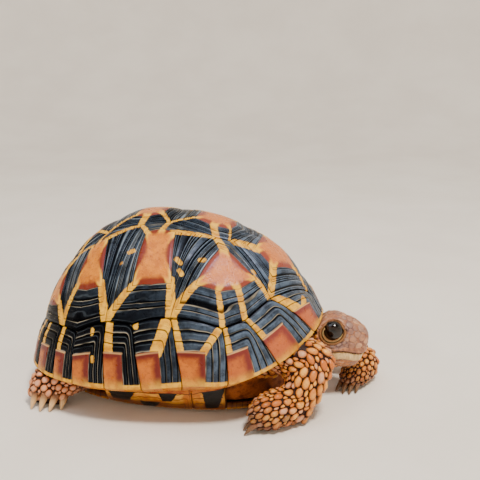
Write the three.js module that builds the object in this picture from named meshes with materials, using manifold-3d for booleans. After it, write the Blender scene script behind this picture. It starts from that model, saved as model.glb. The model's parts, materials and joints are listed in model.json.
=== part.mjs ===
// A young Indian star tortoise, life size and still, standing with its head stretched out.
// Millimetres. +X points the way the animal looks, +Y is its left side, +Z is up, the floor is z = 0.
// The shell is drawn on a flat chart: (u, v) = (1, 0) is the front of the rim, (0, 1) its left side and
// (0, 0) the top, so a scute is a polygon on that chart, folded over the dome.
import * as THREE from "three";
import { mergeVertices } from "three/addons/utils/BufferGeometryUtils.js";
import Module from "manifold-3d";

const wasm = await Module();
wasm.setup();

// ---- driving dimensions ----
const gap = 0.3; // between neighbouring pieces
const dome = {
  halfLength: 45, // without the flared ends of the rim
  halfWidth: 34.9,
  eggShape: 0.046, // how much wider the rear half is
  squareness: 2.37, // exponent of the plan's outline, 2 would be an ellipse
  topHeight: 59.7,
  topOffset: -2.8, // the top lies a little behind the middle
  sideRim: 12.7, // height of the rim's lower edge at the flanks
  frontRimRise: [3.5, 10.9], // a broad rise towards the front and a steeper one above the neck
  rearRimDrop: 1.5,
  frontFlare: 3.3, // how far the rim turns out at each end
  rearFlare: 2.5,
};
const scute = { thick: 1.6, seamDepth: 0.5, rise: 0.9 }; // the middle of each scute stands proud
const flange = { width: 7.5, thick: 1.4, frontLift: 1.2, bridgeDrop: 2.4 }; // underside of the rim
const upturn = { height: 1.9, angle: 70, ahead: 13, behind: 24 }; // angles in degrees from the front
const plastron = { centre: 1, halfLength: 39, halfWidth: 23.5, squareness: 2.3, bottom: 1.5, thick: 1.5 };
const bridge = { front: 21, rear: -17, frontAngle: 47, rearAngle: 124, blend: 8 };
const eye = { at: [52.2, 4.2, 23.7], radius: 3.1 };

const colours = {
  black: 0x14141a,
  horn: 0xc98a48,
  belly: 0xd2a461,
  skin: 0xb87a4c,
  scales: 0xc98a50,
  beak: 0xcbb593,
  eye: 0x08070a,
};

const group = new THREE.Group();
const radians = THREE.MathUtils.degToRad;
const lerp = THREE.MathUtils.lerp;
const clamp01 = (value) => THREE.MathUtils.clamp(value, 0, 1);
const vector = (point) => new THREE.Vector3(...point);
const powerOf = (value, exponent) => Math.pow(Math.max(value, 0), exponent);

// ---- the shell's surface ----
function superellipse(angle, a, b, n) {
  const c = Math.abs(Math.cos(angle)) / a;
  const s = Math.abs(Math.sin(angle)) / b;
  return Math.pow(Math.pow(c, n) + Math.pow(s, n), -1 / n);
}

function rimHeight(angle) {
  const c = Math.cos(angle);
  const [broad, steep] = dome.frontRimRise;
  return dome.sideRim + broad * powerOf(c, 2) + steep * powerOf(c, 5) - dome.rearRimDrop * powerOf(-c, 3);
}

function rimFlare(angle) {
  const c = Math.cos(angle);
  return dome.frontFlare * powerOf(c, 4) + dome.rearFlare * powerOf(-c, 2);
}

function planRadius(angle) {
  const side = dome.halfWidth * (1 - dome.eggShape * Math.cos(angle));
  return superellipse(angle, dome.halfLength, side, dome.squareness);
}

function onDome(u, v) {
  const angle = Math.atan2(v, u);
  const share = Math.hypot(u, v); // 0 at the top, 1 at the rim
  const slope = (share * Math.PI) / 2;
  const c = Math.cos(angle);
  const flare = rimFlare(angle) * powerOf((share - 0.72) / 0.28, 2);
  const radius = planRadius(angle) * powerOf(Math.sin(slope), 0.996 - 0.036 * c) + flare;
  const rise = powerOf(Math.cos(Math.min(slope, Math.PI / 2)), 1.086 - 0.012 * c);
  const z = rimHeight(angle) + (dome.topHeight - rimHeight(angle)) * rise;
  const shift = dome.topOffset * powerOf(Math.cos(slope), 2);
  return new THREE.Vector3(radius * c + shift, radius * Math.sin(angle), z);
}

// A point of the dome moved along its normal; height is negative inside the shell.
function shellPoint(u, v, height = 0) {
  const step = 0.004;
  const share = Math.hypot(u, v);
  const inward = share > 0.99 ? 0.99 / share : 1;
  const [a, b] = [u * inward, v * inward];
  const alongU = onDome(a + step, b).sub(onDome(a - step, b));
  const alongV = onDome(a, b + step).sub(onDome(a, b - step));
  const normal = alongU.cross(alongV).normalize();
  return onDome(u, v).addScaledVector(normal, height);
}

const degreesFromFront = (angle) =>
  Math.abs(THREE.MathUtils.radToDeg(Math.atan2(Math.sin(angle), Math.cos(angle))));

// The free edge of the rim is turned up a little over the front half of the bridge.
function rimLift(angle) {
  const away = degreesFromFront(angle) - upturn.angle;
  return upturn.height * Math.exp(-powerOf(Math.abs(away) / (away < 0 ? upturn.ahead : upturn.behind), 2));
}

const onRim = (angle, inward, lift) => {
  const radius = planRadius(angle) + rimFlare(angle) - inward;
  const z = rimHeight(angle) + rimLift(angle) + lift;
  return new THREE.Vector3(radius * Math.cos(angle), radius * Math.sin(angle), z);
};

// 1 along the bridge that joins the carapace and plastron, 0 at the leg openings
function bridgeShare(angle) {
  const degrees = degreesFromFront(angle);
  const rising = clamp01((degrees - bridge.frontAngle) / bridge.blend + 0.5);
  const falling = clamp01((bridge.rearAngle - degrees) / bridge.blend + 0.5);
  return rising * falling;
}

const flangeLift = (angle) =>
  lerp(flange.frontLift, -flange.bridgeDrop - rimLift(angle), bridgeShare(angle));
const flangeInner = (angle, inward = 0, lift = 0) =>
  onRim(angle, flange.width + inward, flangeLift(angle) + lift);

function plastronEdge(angle, inset, z) {
  const radius =
    superellipse(angle, plastron.halfLength, plastron.halfWidth, plastron.squareness) - inset;
  return new THREE.Vector3(plastron.centre + radius * Math.cos(angle), radius * Math.sin(angle), z);
}

function plastronHalfWidth(x) {
  const share = Math.min(Math.abs(x - plastron.centre) / plastron.halfLength, 1);
  const n = plastron.squareness;
  return plastron.halfWidth * Math.pow(1 - Math.pow(share, n), 1 / n);
}

// ---- closed bodies from points ----
function closedBody(points, triangles) {
  const geometry = new THREE.BufferGeometry();
  const positions = points.flatMap((p) => [p.x, p.y, p.z]);
  geometry.setAttribute("position", new THREE.Float32BufferAttribute(positions, 3));
  let volume = 0;
  for (const [a, b, c] of triangles) {
    volume += points[a].dot(points[b].clone().cross(points[c]));
  }
  geometry.setIndex(triangles.flatMap(([a, b, c]) => (volume < 0 ? [a, c, b] : [a, b, c])));
  return mergeVertices(geometry, 1e-5);
}

const quad = (a, b, c, d) => [
  [a, b, c],
  [a, c, d],
];

// Two grids of points, one each side of a plate, joined round their edges.
function plateBody(outer, inner) {
  const [rows, columns] = [outer.length, outer[0].length];
  const points = [...outer.flat(), ...inner.flat()];
  const at = (side, i, j) => side * rows * columns + i * columns + j;
  const triangles = [];
  for (let i = 0; i < rows - 1; i++) {
    for (let j = 0; j < columns - 1; j++) {
      triangles.push(...quad(at(0, i, j), at(0, i, j + 1), at(0, i + 1, j + 1), at(0, i + 1, j)));
      triangles.push(...quad(at(1, i, j), at(1, i + 1, j), at(1, i + 1, j + 1), at(1, i, j + 1)));
    }
  }
  const border = [];
  for (let j = 0; j < columns - 1; j++) border.push([0, j]);
  for (let i = 0; i < rows - 1; i++) border.push([i, columns - 1]);
  for (let j = columns - 1; j > 0; j--) border.push([rows - 1, j]);
  for (let i = rows - 1; i > 0; i--) border.push([i, 0]);
  border.forEach(([i, j], k) => {
    const [m, n] = border[(k + 1) % border.length];
    const [a, b, c, d] = [at(0, i, j), at(1, i, j), at(1, m, n), at(0, m, n)];
    triangles.push(...(a < d ? quad(a, b, c, d) : quad(b, c, d, a))); // one diagonal for both neighbours
  });
  return closedBody(points, triangles);
}

// Rings of equal length, one after another, closed by a point at each end.
function ringBody(rings, firstPole, lastPole) {
  const count = rings[0].length;
  const points = [...rings.flat(), firstPole, lastPole];
  const [first, last] = [points.length - 2, points.length - 1];
  const triangles = [];
  for (let k = 0; k < count; k++) {
    const next = (k + 1) % count;
    triangles.push([first, next, k]);
    for (let i = 0; i < rings.length - 1; i++) {
      const [low, high] = [i * count, (i + 1) * count];
      triangles.push(...quad(low + k, low + next, high + next, high + k));
    }
    const end = (rings.length - 1) * count;
    triangles.push([last, end + k, end + next]);
  }
  return closedBody(points, triangles);
}

const middle = (ring) =>
  ring.reduce((sum, p) => sum.add(p), new THREE.Vector3()).divideScalar(ring.length);

// A limb, neck or tail: oval sections across a bent path. Each station is
// [x, y, z, half width across `wide`, half thickness].
function limbBody(stations, wide, sides = 10) {
  const centres = stations.map((s) => vector(s));
  const rings = stations.map(([, , , halfWide, halfThick], i) => {
    const before = centres[Math.max(i - 1, 0)];
    const after = centres[Math.min(i + 1, centres.length - 1)];
    const along = after.clone().sub(before).normalize();
    const across = vector(wide).addScaledVector(along, -vector(wide).dot(along)).normalize();
    const thick = along.clone().cross(across);
    return Array.from({ length: sides }, (_, k) => {
      const turn = (2 * Math.PI * k) / sides;
      return centres[i]
        .clone()
        .addScaledVector(across, halfWide * Math.cos(turn))
        .addScaledVector(thick, halfThick * Math.sin(turn));
    });
  });
  return ringBody(rings, middle(rings[0]), middle(rings.at(-1)));
}

// ---- cutting and joining ----
function toSolid(geometry) {
  const bare = geometry.clone();
  bare.deleteAttribute("normal");
  bare.deleteAttribute("uv");
  const merged = mergeVertices(bare, 1e-4);
  return new wasm.Manifold(
    new wasm.Mesh({
      numProp: 3,
      vertProperties: new Float32Array(merged.attributes.position.array),
      triVerts: new Uint32Array(merged.index.array),
    }),
  );
}

// The main piece of a cut solid, without the crumbs that a cut can leave.
function toGeometry(solid) {
  const pieces = solid.decompose().sort((a, b) => b.volume() - a.volume());
  const mesh = pieces[0].getMesh();
  const geometry = new THREE.BufferGeometry();
  geometry.setAttribute("position", new THREE.BufferAttribute(mesh.vertProperties, 3));
  geometry.setIndex(new THREE.BufferAttribute(mesh.triVerts, 1));
  return geometry;
}

// Everything behind a plane, as a big block: the plane goes through `point` and faces `normal`.
function blockBehind(point, normal, size = 120) {
  const block = new THREE.BoxGeometry(size, size, size).translate(0, 0, -size / 2);
  const [up, facing] = [new THREE.Vector3(0, 0, 1), vector(normal).normalize()];
  block.applyQuaternion(new THREE.Quaternion().setFromUnitVectors(up, facing));
  return toSolid(block.translate(...point));
}

function addNode(name, geometry, colour, roughness = 0.6) {
  const faceted = geometry.index ? geometry.toNonIndexed() : geometry;
  faceted.computeVertexNormals();
  const material = new THREE.MeshStandardMaterial({ color: colour, roughness, metalness: 0 });
  const mesh = new THREE.Mesh(faceted, material);
  mesh.name = name;
  group.add(mesh);
}

// ---- the scutes of the back ----
// Corners on the chart, from front to rear: where the vertebrals meet the costals, and where the
// costals meet the marginals. All are given for the left side and mirrored for the right.
const upper = {
  front: [0.83, 0],
  v1v2: [0.328, 0.149],
  v1v2Middle: [0.39, 0],
  c1c2: [0.274, 0.165],
  v2v3: [0.059, 0.154],
  c2c3: [-0.097, 0.175],
  v3v4: [-0.26, 0.15],
  c3c4: [-0.43, 0.175],
  v4v5: [-0.5, 0.15],
};
const lower = [
  upper.front,
  [0.62, 0.316],
  [0.55, 0.487],
  [0.456, 0.583],
  [0.152, 0.658],
  [-0.105, 0.702],
  [-0.275, 0.649],
  [-0.471, 0.603],
  [-0.56, 0.513],
  [-0.671, 0.388],
  [-0.742, 0.27],
  [-0.781, 0.117],
];
const rimSeams = [0, 13, 32.6, 52.7, 72.8, 92.8, 110.8, 126.3, 136.8, 149.3, 160.5, 171.5]; // degrees

const other = ([u, v]) => [u, -v];
const bothSides = (half) => [...half, ...half.filter(([, v]) => v !== 0).map(other).reverse()];
const vertebrals = [
  [...bothSides([upper.v1v2, lower[1], upper.front]), upper.v1v2Middle],
  bothSides([upper.v2v3, upper.c1c2, upper.v1v2, upper.v1v2Middle]),
  bothSides([upper.v3v4, upper.c2c3, upper.v2v3]),
  bothSides([upper.v4v5, upper.c3c4, upper.v3v4]),
  bothSides([lower[11], lower[10], upper.v4v5]),
];
const costals = [
  [upper.v1v2, lower[1], lower[2], lower[3], lower[4], upper.c1c2],
  [upper.c1c2, lower[4], lower[5], lower[6], upper.c2c3, upper.v2v3],
  [upper.c2c3, lower[6], lower[7], lower[8], upper.c3c4, upper.v3v4],
  [upper.c3c4, lower[8], lower[9], lower[10], upper.v4v5],
];

// A domed plate over a chart polygon: rings shrink from the edge to its middle.
function scuteBody(corners, perEdge = 3, rings = 3) {
  const centre = [0, 1].map((k) => corners.reduce((sum, c) => sum + c[k], 0) / corners.length);
  const edge = corners.flatMap((corner, i) => {
    const next = corners[(i + 1) % corners.length];
    return Array.from({ length: perEdge }, (_, k) => [
      lerp(corner[0], next[0], k / perEdge),
      lerp(corner[1], next[1], k / perEdge),
    ]);
  });
  const middlePoint = shellPoint(...centre);
  const ringAt = (share, height) =>
    edge.map(([u, v]) => {
      const reach = 1 - (0.75 * gap) / middlePoint.distanceTo(shellPoint(u, v));
      const t = share * reach;
      return shellPoint(lerp(centre[0], u, t), lerp(centre[1], v, t), height);
    });
  const outerHeight = (share) => scute.rise * (1 - share * share) - scute.seamDepth;
  const innerHeight = -scute.seamDepth - scute.thick;
  const shares = Array.from({ length: rings }, (_, k) => (k + 1) / rings);
  const outer = shares.map((share) => ringAt(share, outerHeight(share)));
  const inner = [ringAt(1, innerHeight), ringAt(0.5, innerHeight)];
  return ringBody(
    [...outer, ...inner],
    shellPoint(...centre, outerHeight(0)),
    shellPoint(...centre, innerHeight),
  );
}

vertebrals.forEach((corners, i) => {
  addNode(`vertebral_${i + 1}`, scuteBody(corners), colours.horn, 0.35);
});
for (const [side, mirror] of [
  ["right", other],
  ["left", (corner) => corner],
]) {
  costals.forEach((corners, i) => {
    addNode(`costal_${side}_${i + 1}`, scuteBody(corners.map(mirror)), colours.black, 0.35);
  });
}

// A marginal: down the side of the dome, round the rim's edge and in along the underside.
function marginalBody(top, bottom) {
  const segments = Math.abs(bottom[1] - bottom[0]) > radians(15) ? 3 : 2;
  const width = onRim(bottom[0], 0, 0).distanceTo(onRim(bottom[1], 0, 0));
  const trim = (0.8 * gap) / width;
  const [outer, inner] = [[], []];
  for (let j = 0; j <= segments; j++) {
    const s = lerp(trim, 1 - trim, j / segments);
    const angle = lerp(bottom[0], bottom[1], s);
    const [topU, topV] = [lerp(top[0][0], top[1][0], s), lerp(top[0][1], top[1][1], s)];
    const down = (t, height) => {
      const point = shellPoint(lerp(topU, Math.cos(angle), t), lerp(topV, Math.sin(angle), t), height);
      point.z += rimLift(angle) * THREE.MathUtils.smoothstep(t, 0.35, 1);
      return point;
    };
    const lean = -scute.seamDepth;
    outer.push([
      down(0.015, lean),
      down(0.34, 0.1),
      down(0.67, 0.2),
      down(1, 0),
      onRim(angle, 0.9, -0.6),
      flangeInner(angle),
    ]);
    inner.push([
      down(0.015, lean - scute.thick),
      down(0.36, lean - scute.thick),
      down(0.7, lean - scute.thick),
      onRim(angle, 3.1, 1.7),
      onRim(angle, 4.6, 0.7 * flangeLift(angle) + flange.thick),
      flangeInner(angle, 0, flange.thick),
    ]);
  }
  return plateBody(outer, inner);
}

for (const [side, sign, mirror] of [
  ["right", -1, other],
  ["left", 1, (corner) => corner],
]) {
  for (let i = 0; i < 11; i++) {
    const angles = [radians(rimSeams[i] * sign), radians(rimSeams[i + 1] * sign)];
    const body = marginalBody([mirror(lower[i]), mirror(lower[i + 1])], angles);
    addNode(`marginal_${side}_${String(i + 1).padStart(2, "0")}`, body, colours.horn, 0.4);
  }
}
addNode(
  "supracaudal",
  marginalBody([lower[11], other(lower[11])], [radians(rimSeams[11]), radians(360 - rimSeams[11])]),
  colours.horn,
  0.4,
);

// ---- the belly plates, each a pair joined across the middle ----
const bellySeams = [39.6, 30, 21, 11, -17, -27, -37.6];
const bellyNames = ["gular", "humeral", "pectoral", "abdominal", "femoral", "anal"];

function flangeAngleAt(x) {
  let [low, high] = [0, Math.PI];
  for (let i = 0; i < 40; i++) {
    const half = (low + high) / 2;
    if (flangeInner(half).x > x) low = half;
    else high = half;
  }
  return low;
}

function bellyBody(front, rear, winged, columns = 5) {
  const [outer, inner] = [[], []];
  for (let j = 0; j < columns; j++) {
    const x = lerp(front - gap / 2, rear + gap / 2, j / (columns - 1));
    const half = plastronHalfWidth(x);
    const top = plastron.bottom + plastron.thick;
    const row = [-1, -0.8, 0, 0.8, 1];
    const turnedUp = (s) => plastron.bottom + (Math.abs(s) === 1 ? 0.5 : 0);
    const under = row.map((s) => new THREE.Vector3(x, s * half, turnedUp(s)));
    const over = row.map((s) => new THREE.Vector3(x, s * (half - 0.3), top));
    if (winged) {
      const rim = flangeInner(flangeAngleAt(x), 0.2, -gap - 0.1);
      const wing = (side, share, inset) =>
        new THREE.Vector3(
          x,
          side * (lerp(half, rim.y, Math.pow(share, 0.8)) - inset),
          lerp(plastron.bottom + 0.5, rim.z, share),
        );
      under.unshift(wing(-1, 1, 0), wing(-1, 0.5, 0));
      under.push(wing(1, 0.5, 0), wing(1, 1, 0));
      over.unshift(wing(-1, 1, plastron.thick), wing(-1, 0.55, plastron.thick));
      over.push(wing(1, 0.55, plastron.thick), wing(1, 1, plastron.thick));
      over[2].y += plastron.thick * 0.6;
      over[over.length - 3].y -= plastron.thick * 0.6;
    }
    outer.push(under);
    inner.push(over);
  }
  return plateBody(outer, inner);
}

bellyNames.forEach((name, i) => {
  const winged = bellySeams[i] <= bridge.front && bellySeams[i + 1] >= bridge.rear;
  addNode(`plastron_${name}`, bellyBody(bellySeams[i], bellySeams[i + 1], winged), colours.belly, 0.5);
});

// ---- the trunk inside the shell, and a slightly larger block that limbs are cut back by ----
function shellRings(bare, sides = 36) {
  const domeHeight = bare ? -scute.seamDepth - scute.thick - 2.4 * gap : 1.2;
  const shares = [0.16, 0.34, 0.5, 0.64, 0.76, 0.86];
  const columns = Array.from({ length: sides }, (_, k) => {
    const angle = (2 * Math.PI * k) / sides;
    const [u, v] = [Math.cos(angle), Math.sin(angle)];
    const held = bridgeShare(angle);
    const onTop = shares.map((share) => shellPoint(share * u, share * v, domeHeight));
    if (bare) {
      const wing = held * (plastron.thick + 0.7);
      return [
        ...onTop,
        onRim(angle, 4.6, 3.2),
        flangeInner(angle, 0.7, flange.thick + gap + 0.6),
        flangeInner(angle, 0.6 + wing, lerp(-0.6, 0.4, held)),
        plastronEdge(angle, 1.4 + wing, plastron.bottom + plastron.thick + gap),
      ];
    }
    return [
      ...onTop,
      onRim(angle, -0.9, 0.8),
      onRim(angle, -0.6, -1.2),
      flangeInner(angle, 0, -0.8),
      flangeInner(angle, 0.4, -1.4),
      plastronEdge(angle, lerp(1.1, -gap, held), plastron.bottom + plastron.thick + 0.6),
      plastronEdge(angle, -gap, plastron.bottom + plastron.thick + gap),
      plastronEdge(angle, -gap, plastron.bottom - gap),
    ];
  });
  const rings = columns[0].map((_, i) => columns.map((column) => column[i]));
  const [top, bottom] = [shellPoint(0.001, 0, domeHeight), middle(rings.at(-1))];
  return ringBody(rings, top, bottom);
}

addNode("trunk", shellRings(true), colours.skin, 0.8);
const shellBlock = toSolid(shellRings(false));
const floorBlock = blockBehind([0, 0, 0], [0, 0, 1]);

// ---- head, lower jaw, neck and eyes ----
// The head is a run of upright ovals: [x, top, bottom, half width].
const headSections = [
  [44.6, 25.2, 12.4, 7.8],
  [47.4, 26.5, 11.6, 8.0],
  [49.6, 28.2, 10.9, 7.9],
  [52.2, 28.8, 10.3, 7.5],
  [55.2, 28.2, 10.0, 6.6],
  [58.0, 27.2, 10.1, 5.5],
  [60.2, 25.9, 11.0, 4.5],
  [62.0, 24.4, 14.6, 3.4],
  [63.2, 22.8, 17.4, 2.2],
];
const snout = [63.7, 0, 20.4];
const mouth = { corner: [50.6, 0, 17.8], drop: 0.16 }; // the mouth line falls by `drop` per mm forwards
const neckPath = [
  [33, 0, 19.2, 7.3, 5.8],
  [39, 0, 19.1, 7.5, 5.9],
  [44.3, 0, 19.0, 7.7, 6.1],
];

function headBody(sides = 14) {
  const rings = headSections.map(([x, top, bottom, half]) =>
    Array.from({ length: sides }, (_, k) => {
      const turn = (2 * Math.PI * k) / sides;
      const reach = superellipse(turn, half, (top - bottom) / 2, 2.4);
      return new THREE.Vector3(x, reach * Math.cos(turn), (top + bottom) / 2 + reach * Math.sin(turn));
    }),
  );
  return ringBody(rings, middle(rings[0]), vector(snout));
}

function jawZone(margin) {
  const [length, width, depth] = [40, 40, 30];
  const block = new THREE.BoxGeometry(length, width, depth);
  block.translate(length / 2 - margin, 0, margin - depth / 2);
  block.rotateY(Math.atan(mouth.drop));
  return toSolid(block.translate(...mouth.corner));
}

const eyeball = (side, margin) => {
  const ball = new THREE.SphereGeometry(eye.radius + margin, 10, 7);
  return ball.translate(eye.at[0], side * eye.at[1], eye.at[2]);
};

const wholeHead = toSolid(headBody()).subtract(shellBlock);
const upperHead = wholeHead
  .subtract(jawZone(gap))
  .subtract(toSolid(eyeball(1, gap)))
  .subtract(toSolid(eyeball(-1, gap)));
addNode("head", toGeometry(upperHead), colours.skin, 0.55);
addNode("lower_jaw", toGeometry(wholeHead.intersect(jawZone(0))), colours.beak, 0.5);
addNode("eye_right", eyeball(-1, 0), colours.eye, 0.08);
addNode("eye_left", eyeball(1, 0), colours.eye, 0.08);

const sideways = [0, 1, 0];
const widerNeck = neckPath.map(([x, y, z, a, b]) => [x, y, z, a + gap, b + gap]);
const neckBlock = toSolid(limbBody(widerNeck, sideways));
const bareNeck = toSolid(limbBody(neckPath, sideways)).subtract(shellBlock);
addNode("neck", toGeometry(bareNeck), colours.skin, 0.7);

// ---- legs and tail ----
// Everything ahead of a plane up to some height: the room that a foot takes.
function footZone({ at, facing, height, below = 5 }, margin) {
  const [length, width] = [40, 60];
  const block = new THREE.BoxGeometry(length, width, height + below);
  block.translate(length / 2 - margin, 0, (height - below) / 2 + margin);
  const [ahead, towards] = [new THREE.Vector3(1, 0, 0), vector(facing).normalize()];
  const turn = new THREE.Quaternion().setFromUnitVectors(ahead, towards);
  return toSolid(block.applyQuaternion(turn).translate(...at));
}

// A short curved claw, from its root to its tip.
function clawBody(root, tip, radius) {
  const [from, to] = [vector(root), vector(tip)];
  const bend = from.clone().lerp(to, 0.5).add(new THREE.Vector3(0, 0, radius * 0.3));
  const stations = [
    [...from.toArray(), radius, radius * 0.8],
    [...bend.toArray(), radius * 0.85, radius * 0.7],
    [...to.toArray(), radius * 0.3, radius * 0.25],
  ];
  return limbBody(stations, [1, 0.3, 0], 7);
}

function leg({ name, foot, parts, claws, clawRadius, wrist }) {
  let whole = toSolid(limbBody(parts[0].path, parts[0].wide));
  for (const { path, wide } of parts.slice(1)) {
    whole = whole.add(toSolid(limbBody(path, wide)));
  }
  for (const [root, tip] of claws) {
    whole = whole.add(toSolid(clawBody(root, tip, clawRadius)));
  }
  whole = whole.subtract(shellBlock).subtract(neckBlock).subtract(floorBlock);
  addNode(name, toGeometry(whole.subtract(footZone(wrist, gap))), colours.scales, 0.65);
  addNode(foot, toGeometry(whole.intersect(footZone(wrist, 0))), colours.scales, 0.65);
}

// The right foreleg carries weight with its hand turned out and back.
leg({
  name: "foreleg_right",
  foot: "forefoot_right",
  parts: [
    {
      path: [
        [31, -13, 19.5, 5.5, 6.5],
        [38, -14.8, 19.3, 6.2, 7],
        [45, -16.3, 18.2, 6.4, 7.4],
        [50, -17, 16.8, 5.2, 5.8],
        [53, -17.4, 16, 2.4, 2.8],
      ],
      wide: sideways,
    },
    {
      path: [
        [46.6, -16.6, 20.5, 4.2, 4.6],
        [46.2, -17.2, 16.5, 6.2, 6.6],
        [45, -18.6, 11.5, 6, 6.3],
        [43, -19.8, 6.5, 5.6, 5.8],
        [41.4, -20.6, 1, 4.8, 4.8],
      ],
      wide: sideways,
    },
    {
      path: [
        [44.5, -18.6, 5, 4.2, 4.6],
        [41, -21.8, 5.7, 5.4, 5.6],
        [37, -25.6, 6, 5.8, 6.2],
        [33.2, -28.2, 5.2, 5, 5.4],
        [30, -30, 3.8, 2.8, 3],
      ],
      wide: sideways,
    },
  ],
  claws: [
    [[34, -24.6, 3], [30.6, -24.6, 0.5]],
    [[32.8, -26.8, 3], [28.9, -27.2, 0.5]],
    [[32, -29, 3], [28, -30, 0.5]],
    [[32.4, -31, 3], [28.8, -32.8, 0.5]],
  ],
  clawRadius: 1.1,
  wrist: { at: [40.4, -22.4, 0], facing: [-0.8, -0.6, 0], height: 12.6 },
});

// The left foreleg reaches forward and turns its hand in under the chin.
leg({
  name: "foreleg_left",
  foot: "forefoot_left",
  parts: [
    {
      path: [
        [31, 13, 18, 5.5, 6.5],
        [40, 15.5, 14.6, 6.2, 6.2],
        [50, 17, 11, 6, 5.6],
        [58, 17, 8, 5.4, 4.6],
        [62.6, 16.4, 6.6, 3.6, 3.4],
      ],
      wide: sideways,
    },
    {
      path: [
        [60.6, 16, 8.8, 3.4, 2.8],
        [61.8, 15.8, 6.8, 5.4, 4.6],
        [62.2, 14.6, 5.4, 5.6, 4.8],
        [61.8, 13, 2.8, 5, 4.6],
      ],
      wide: sideways,
    },
    {
      path: [
        [64, 15.5, 5.2, 3.8, 4.2],
        [62, 11.5, 5.1, 4.8, 5.1],
        [59.8, 7.4, 4.5, 5, 4.7],
        [57.8, 4, 3.7, 4.2, 3.8],
        [56.6, 1.8, 2.8, 2.2, 2.2],
      ],
      wide: [1, 0, 0],
    },
  ],
  claws: [
    [[60.8, 4, 2.6], [60, 0.4, 0.5]],
    [[58.9, 3, 2.8], [57.9, -0.8, 0.5]],
    [[57, 3, 2.8], [55.8, -0.8, 0.5]],
    [[55.6, 4.2, 2.6], [53.6, 1, 0.5]],
  ],
  clawRadius: 1.1,
  wrist: { at: [61, 10.4, 0], facing: [-0.4, -0.9, 0], height: 10.4 },
});

// Hind legs stand like short pillars, toes outwards; `ahead` shifts the left one forward.
for (const [side, y, ahead] of [
  ["right", -1, 0],
  ["left", 1, 3],
]) {
  const place = ([a, b, ...rest]) => [a + ahead, b * y, ...rest];
  leg({
    name: `thigh_${side}`,
    foot: `hind_foot_${side}`,
    parts: [
      {
        path: [
          [-20, 14, 10, 5, 5.5],
          [-27, 19.5, 9.4, 5.6, 6],
          [-32.5, 22.5, 8.2, 5.6, 5.8],
          [-37, 24.4, 6.8, 3.4, 3.8],
        ].map(place),
        wide: sideways,
      },
      {
        path: [
          [-34.6, 22, 11.6, 3.4, 4],
          [-35.6, 23.4, 8.6, 5, 6.2],
          [-36.2, 24.2, 4.6, 5.2, 6.8],
          [-36.3, 24.4, -1, 5, 6.6],
        ].map(place),
        wide: sideways,
      },
    ],
    claws: [
      [[-39, 26.6, 4.8], [-40.2, 29.1, 0.4]],
      [[-35.6, 27.2, 5], [-36.8, 30.2, 0.4]],
      [[-32.4, 26.8, 4.4], [-33.8, 29.8, 0.4]],
      [[-30.4, 25.4, 3.6], [-30.6, 28.2, 0.4]],
    ].map((claw) => claw.map(place)),
    clawRadius: 1.15,
    wrist: { at: place([-35, 22.6, 9.2]), facing: [-0.25, 0.3 * y, -0.9], height: 30, below: 30 },
  });
}

const tailPath = [
  [-35, 0, 7.6, 3, 2.8],
  [-40.5, -0.6, 7, 2.5, 2.4],
  [-44, -2, 5.6, 1.9, 1.8],
  [-46.6, -4, 4.2, 0.9, 0.9],
];
const tail = toSolid(limbBody(tailPath, sideways, 10)).subtract(shellBlock);
addNode("tail", toGeometry(tail), colours.skin, 0.7);

// Stands the model over the middle of its own box.
const bounds = new THREE.Box3().setFromObject(group);
const centre = bounds.getCenter(new THREE.Vector3());
group.position.set(-centre.x, -centre.y, -bounds.min.z);

export default group;
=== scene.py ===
import json
import math
from collections import defaultdict, namedtuple

import bmesh
import bpy
import numpy as np
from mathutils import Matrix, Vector
from mathutils.bvhtree import BVHTree
from mathutils.kdtree import KDTree

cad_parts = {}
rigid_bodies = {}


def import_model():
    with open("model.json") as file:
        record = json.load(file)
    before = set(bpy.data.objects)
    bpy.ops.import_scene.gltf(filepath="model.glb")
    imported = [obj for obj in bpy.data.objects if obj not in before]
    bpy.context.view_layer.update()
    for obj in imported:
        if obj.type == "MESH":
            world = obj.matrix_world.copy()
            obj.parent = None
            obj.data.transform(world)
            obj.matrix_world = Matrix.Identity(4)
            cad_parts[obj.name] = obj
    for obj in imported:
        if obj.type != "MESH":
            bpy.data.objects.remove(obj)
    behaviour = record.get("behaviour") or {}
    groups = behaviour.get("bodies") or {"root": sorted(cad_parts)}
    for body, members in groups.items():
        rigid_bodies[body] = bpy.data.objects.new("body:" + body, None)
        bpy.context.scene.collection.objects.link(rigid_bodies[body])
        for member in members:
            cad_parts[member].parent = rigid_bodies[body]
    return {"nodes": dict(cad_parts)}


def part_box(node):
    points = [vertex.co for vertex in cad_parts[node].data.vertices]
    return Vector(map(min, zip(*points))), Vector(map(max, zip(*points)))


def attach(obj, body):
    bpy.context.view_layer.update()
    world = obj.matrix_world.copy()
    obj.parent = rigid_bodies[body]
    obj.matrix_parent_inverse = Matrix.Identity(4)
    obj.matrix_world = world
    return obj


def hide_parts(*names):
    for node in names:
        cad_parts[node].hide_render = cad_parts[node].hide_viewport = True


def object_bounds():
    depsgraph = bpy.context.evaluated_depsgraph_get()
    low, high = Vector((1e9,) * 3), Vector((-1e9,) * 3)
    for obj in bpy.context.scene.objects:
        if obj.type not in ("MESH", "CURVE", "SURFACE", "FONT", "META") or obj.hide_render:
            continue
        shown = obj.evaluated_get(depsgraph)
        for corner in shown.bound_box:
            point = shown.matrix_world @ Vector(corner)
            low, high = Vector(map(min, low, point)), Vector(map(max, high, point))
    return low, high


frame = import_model()
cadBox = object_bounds()

# A young Indian star tortoise, life size, walking with its head stretched out.
# Shapes are worked out in millimetres about the middle of the shell, then moved to the frame in metres.
# +X is the way the animal looks, +Y its left side, +Z up.
mm = 0.001
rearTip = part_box("supracaudal")[0].x
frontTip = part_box("marginal_right_01")[1].x
rimAhead = 0.83  # the rim reaches this many mm further forwards than backwards
shellMiddle = (rearTip + frontTip - rimAhead * mm) / 2


def toFrame(points):
    moved = np.asarray(points, float) * mm
    moved[..., 0] += shellMiddle
    return moved


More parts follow.
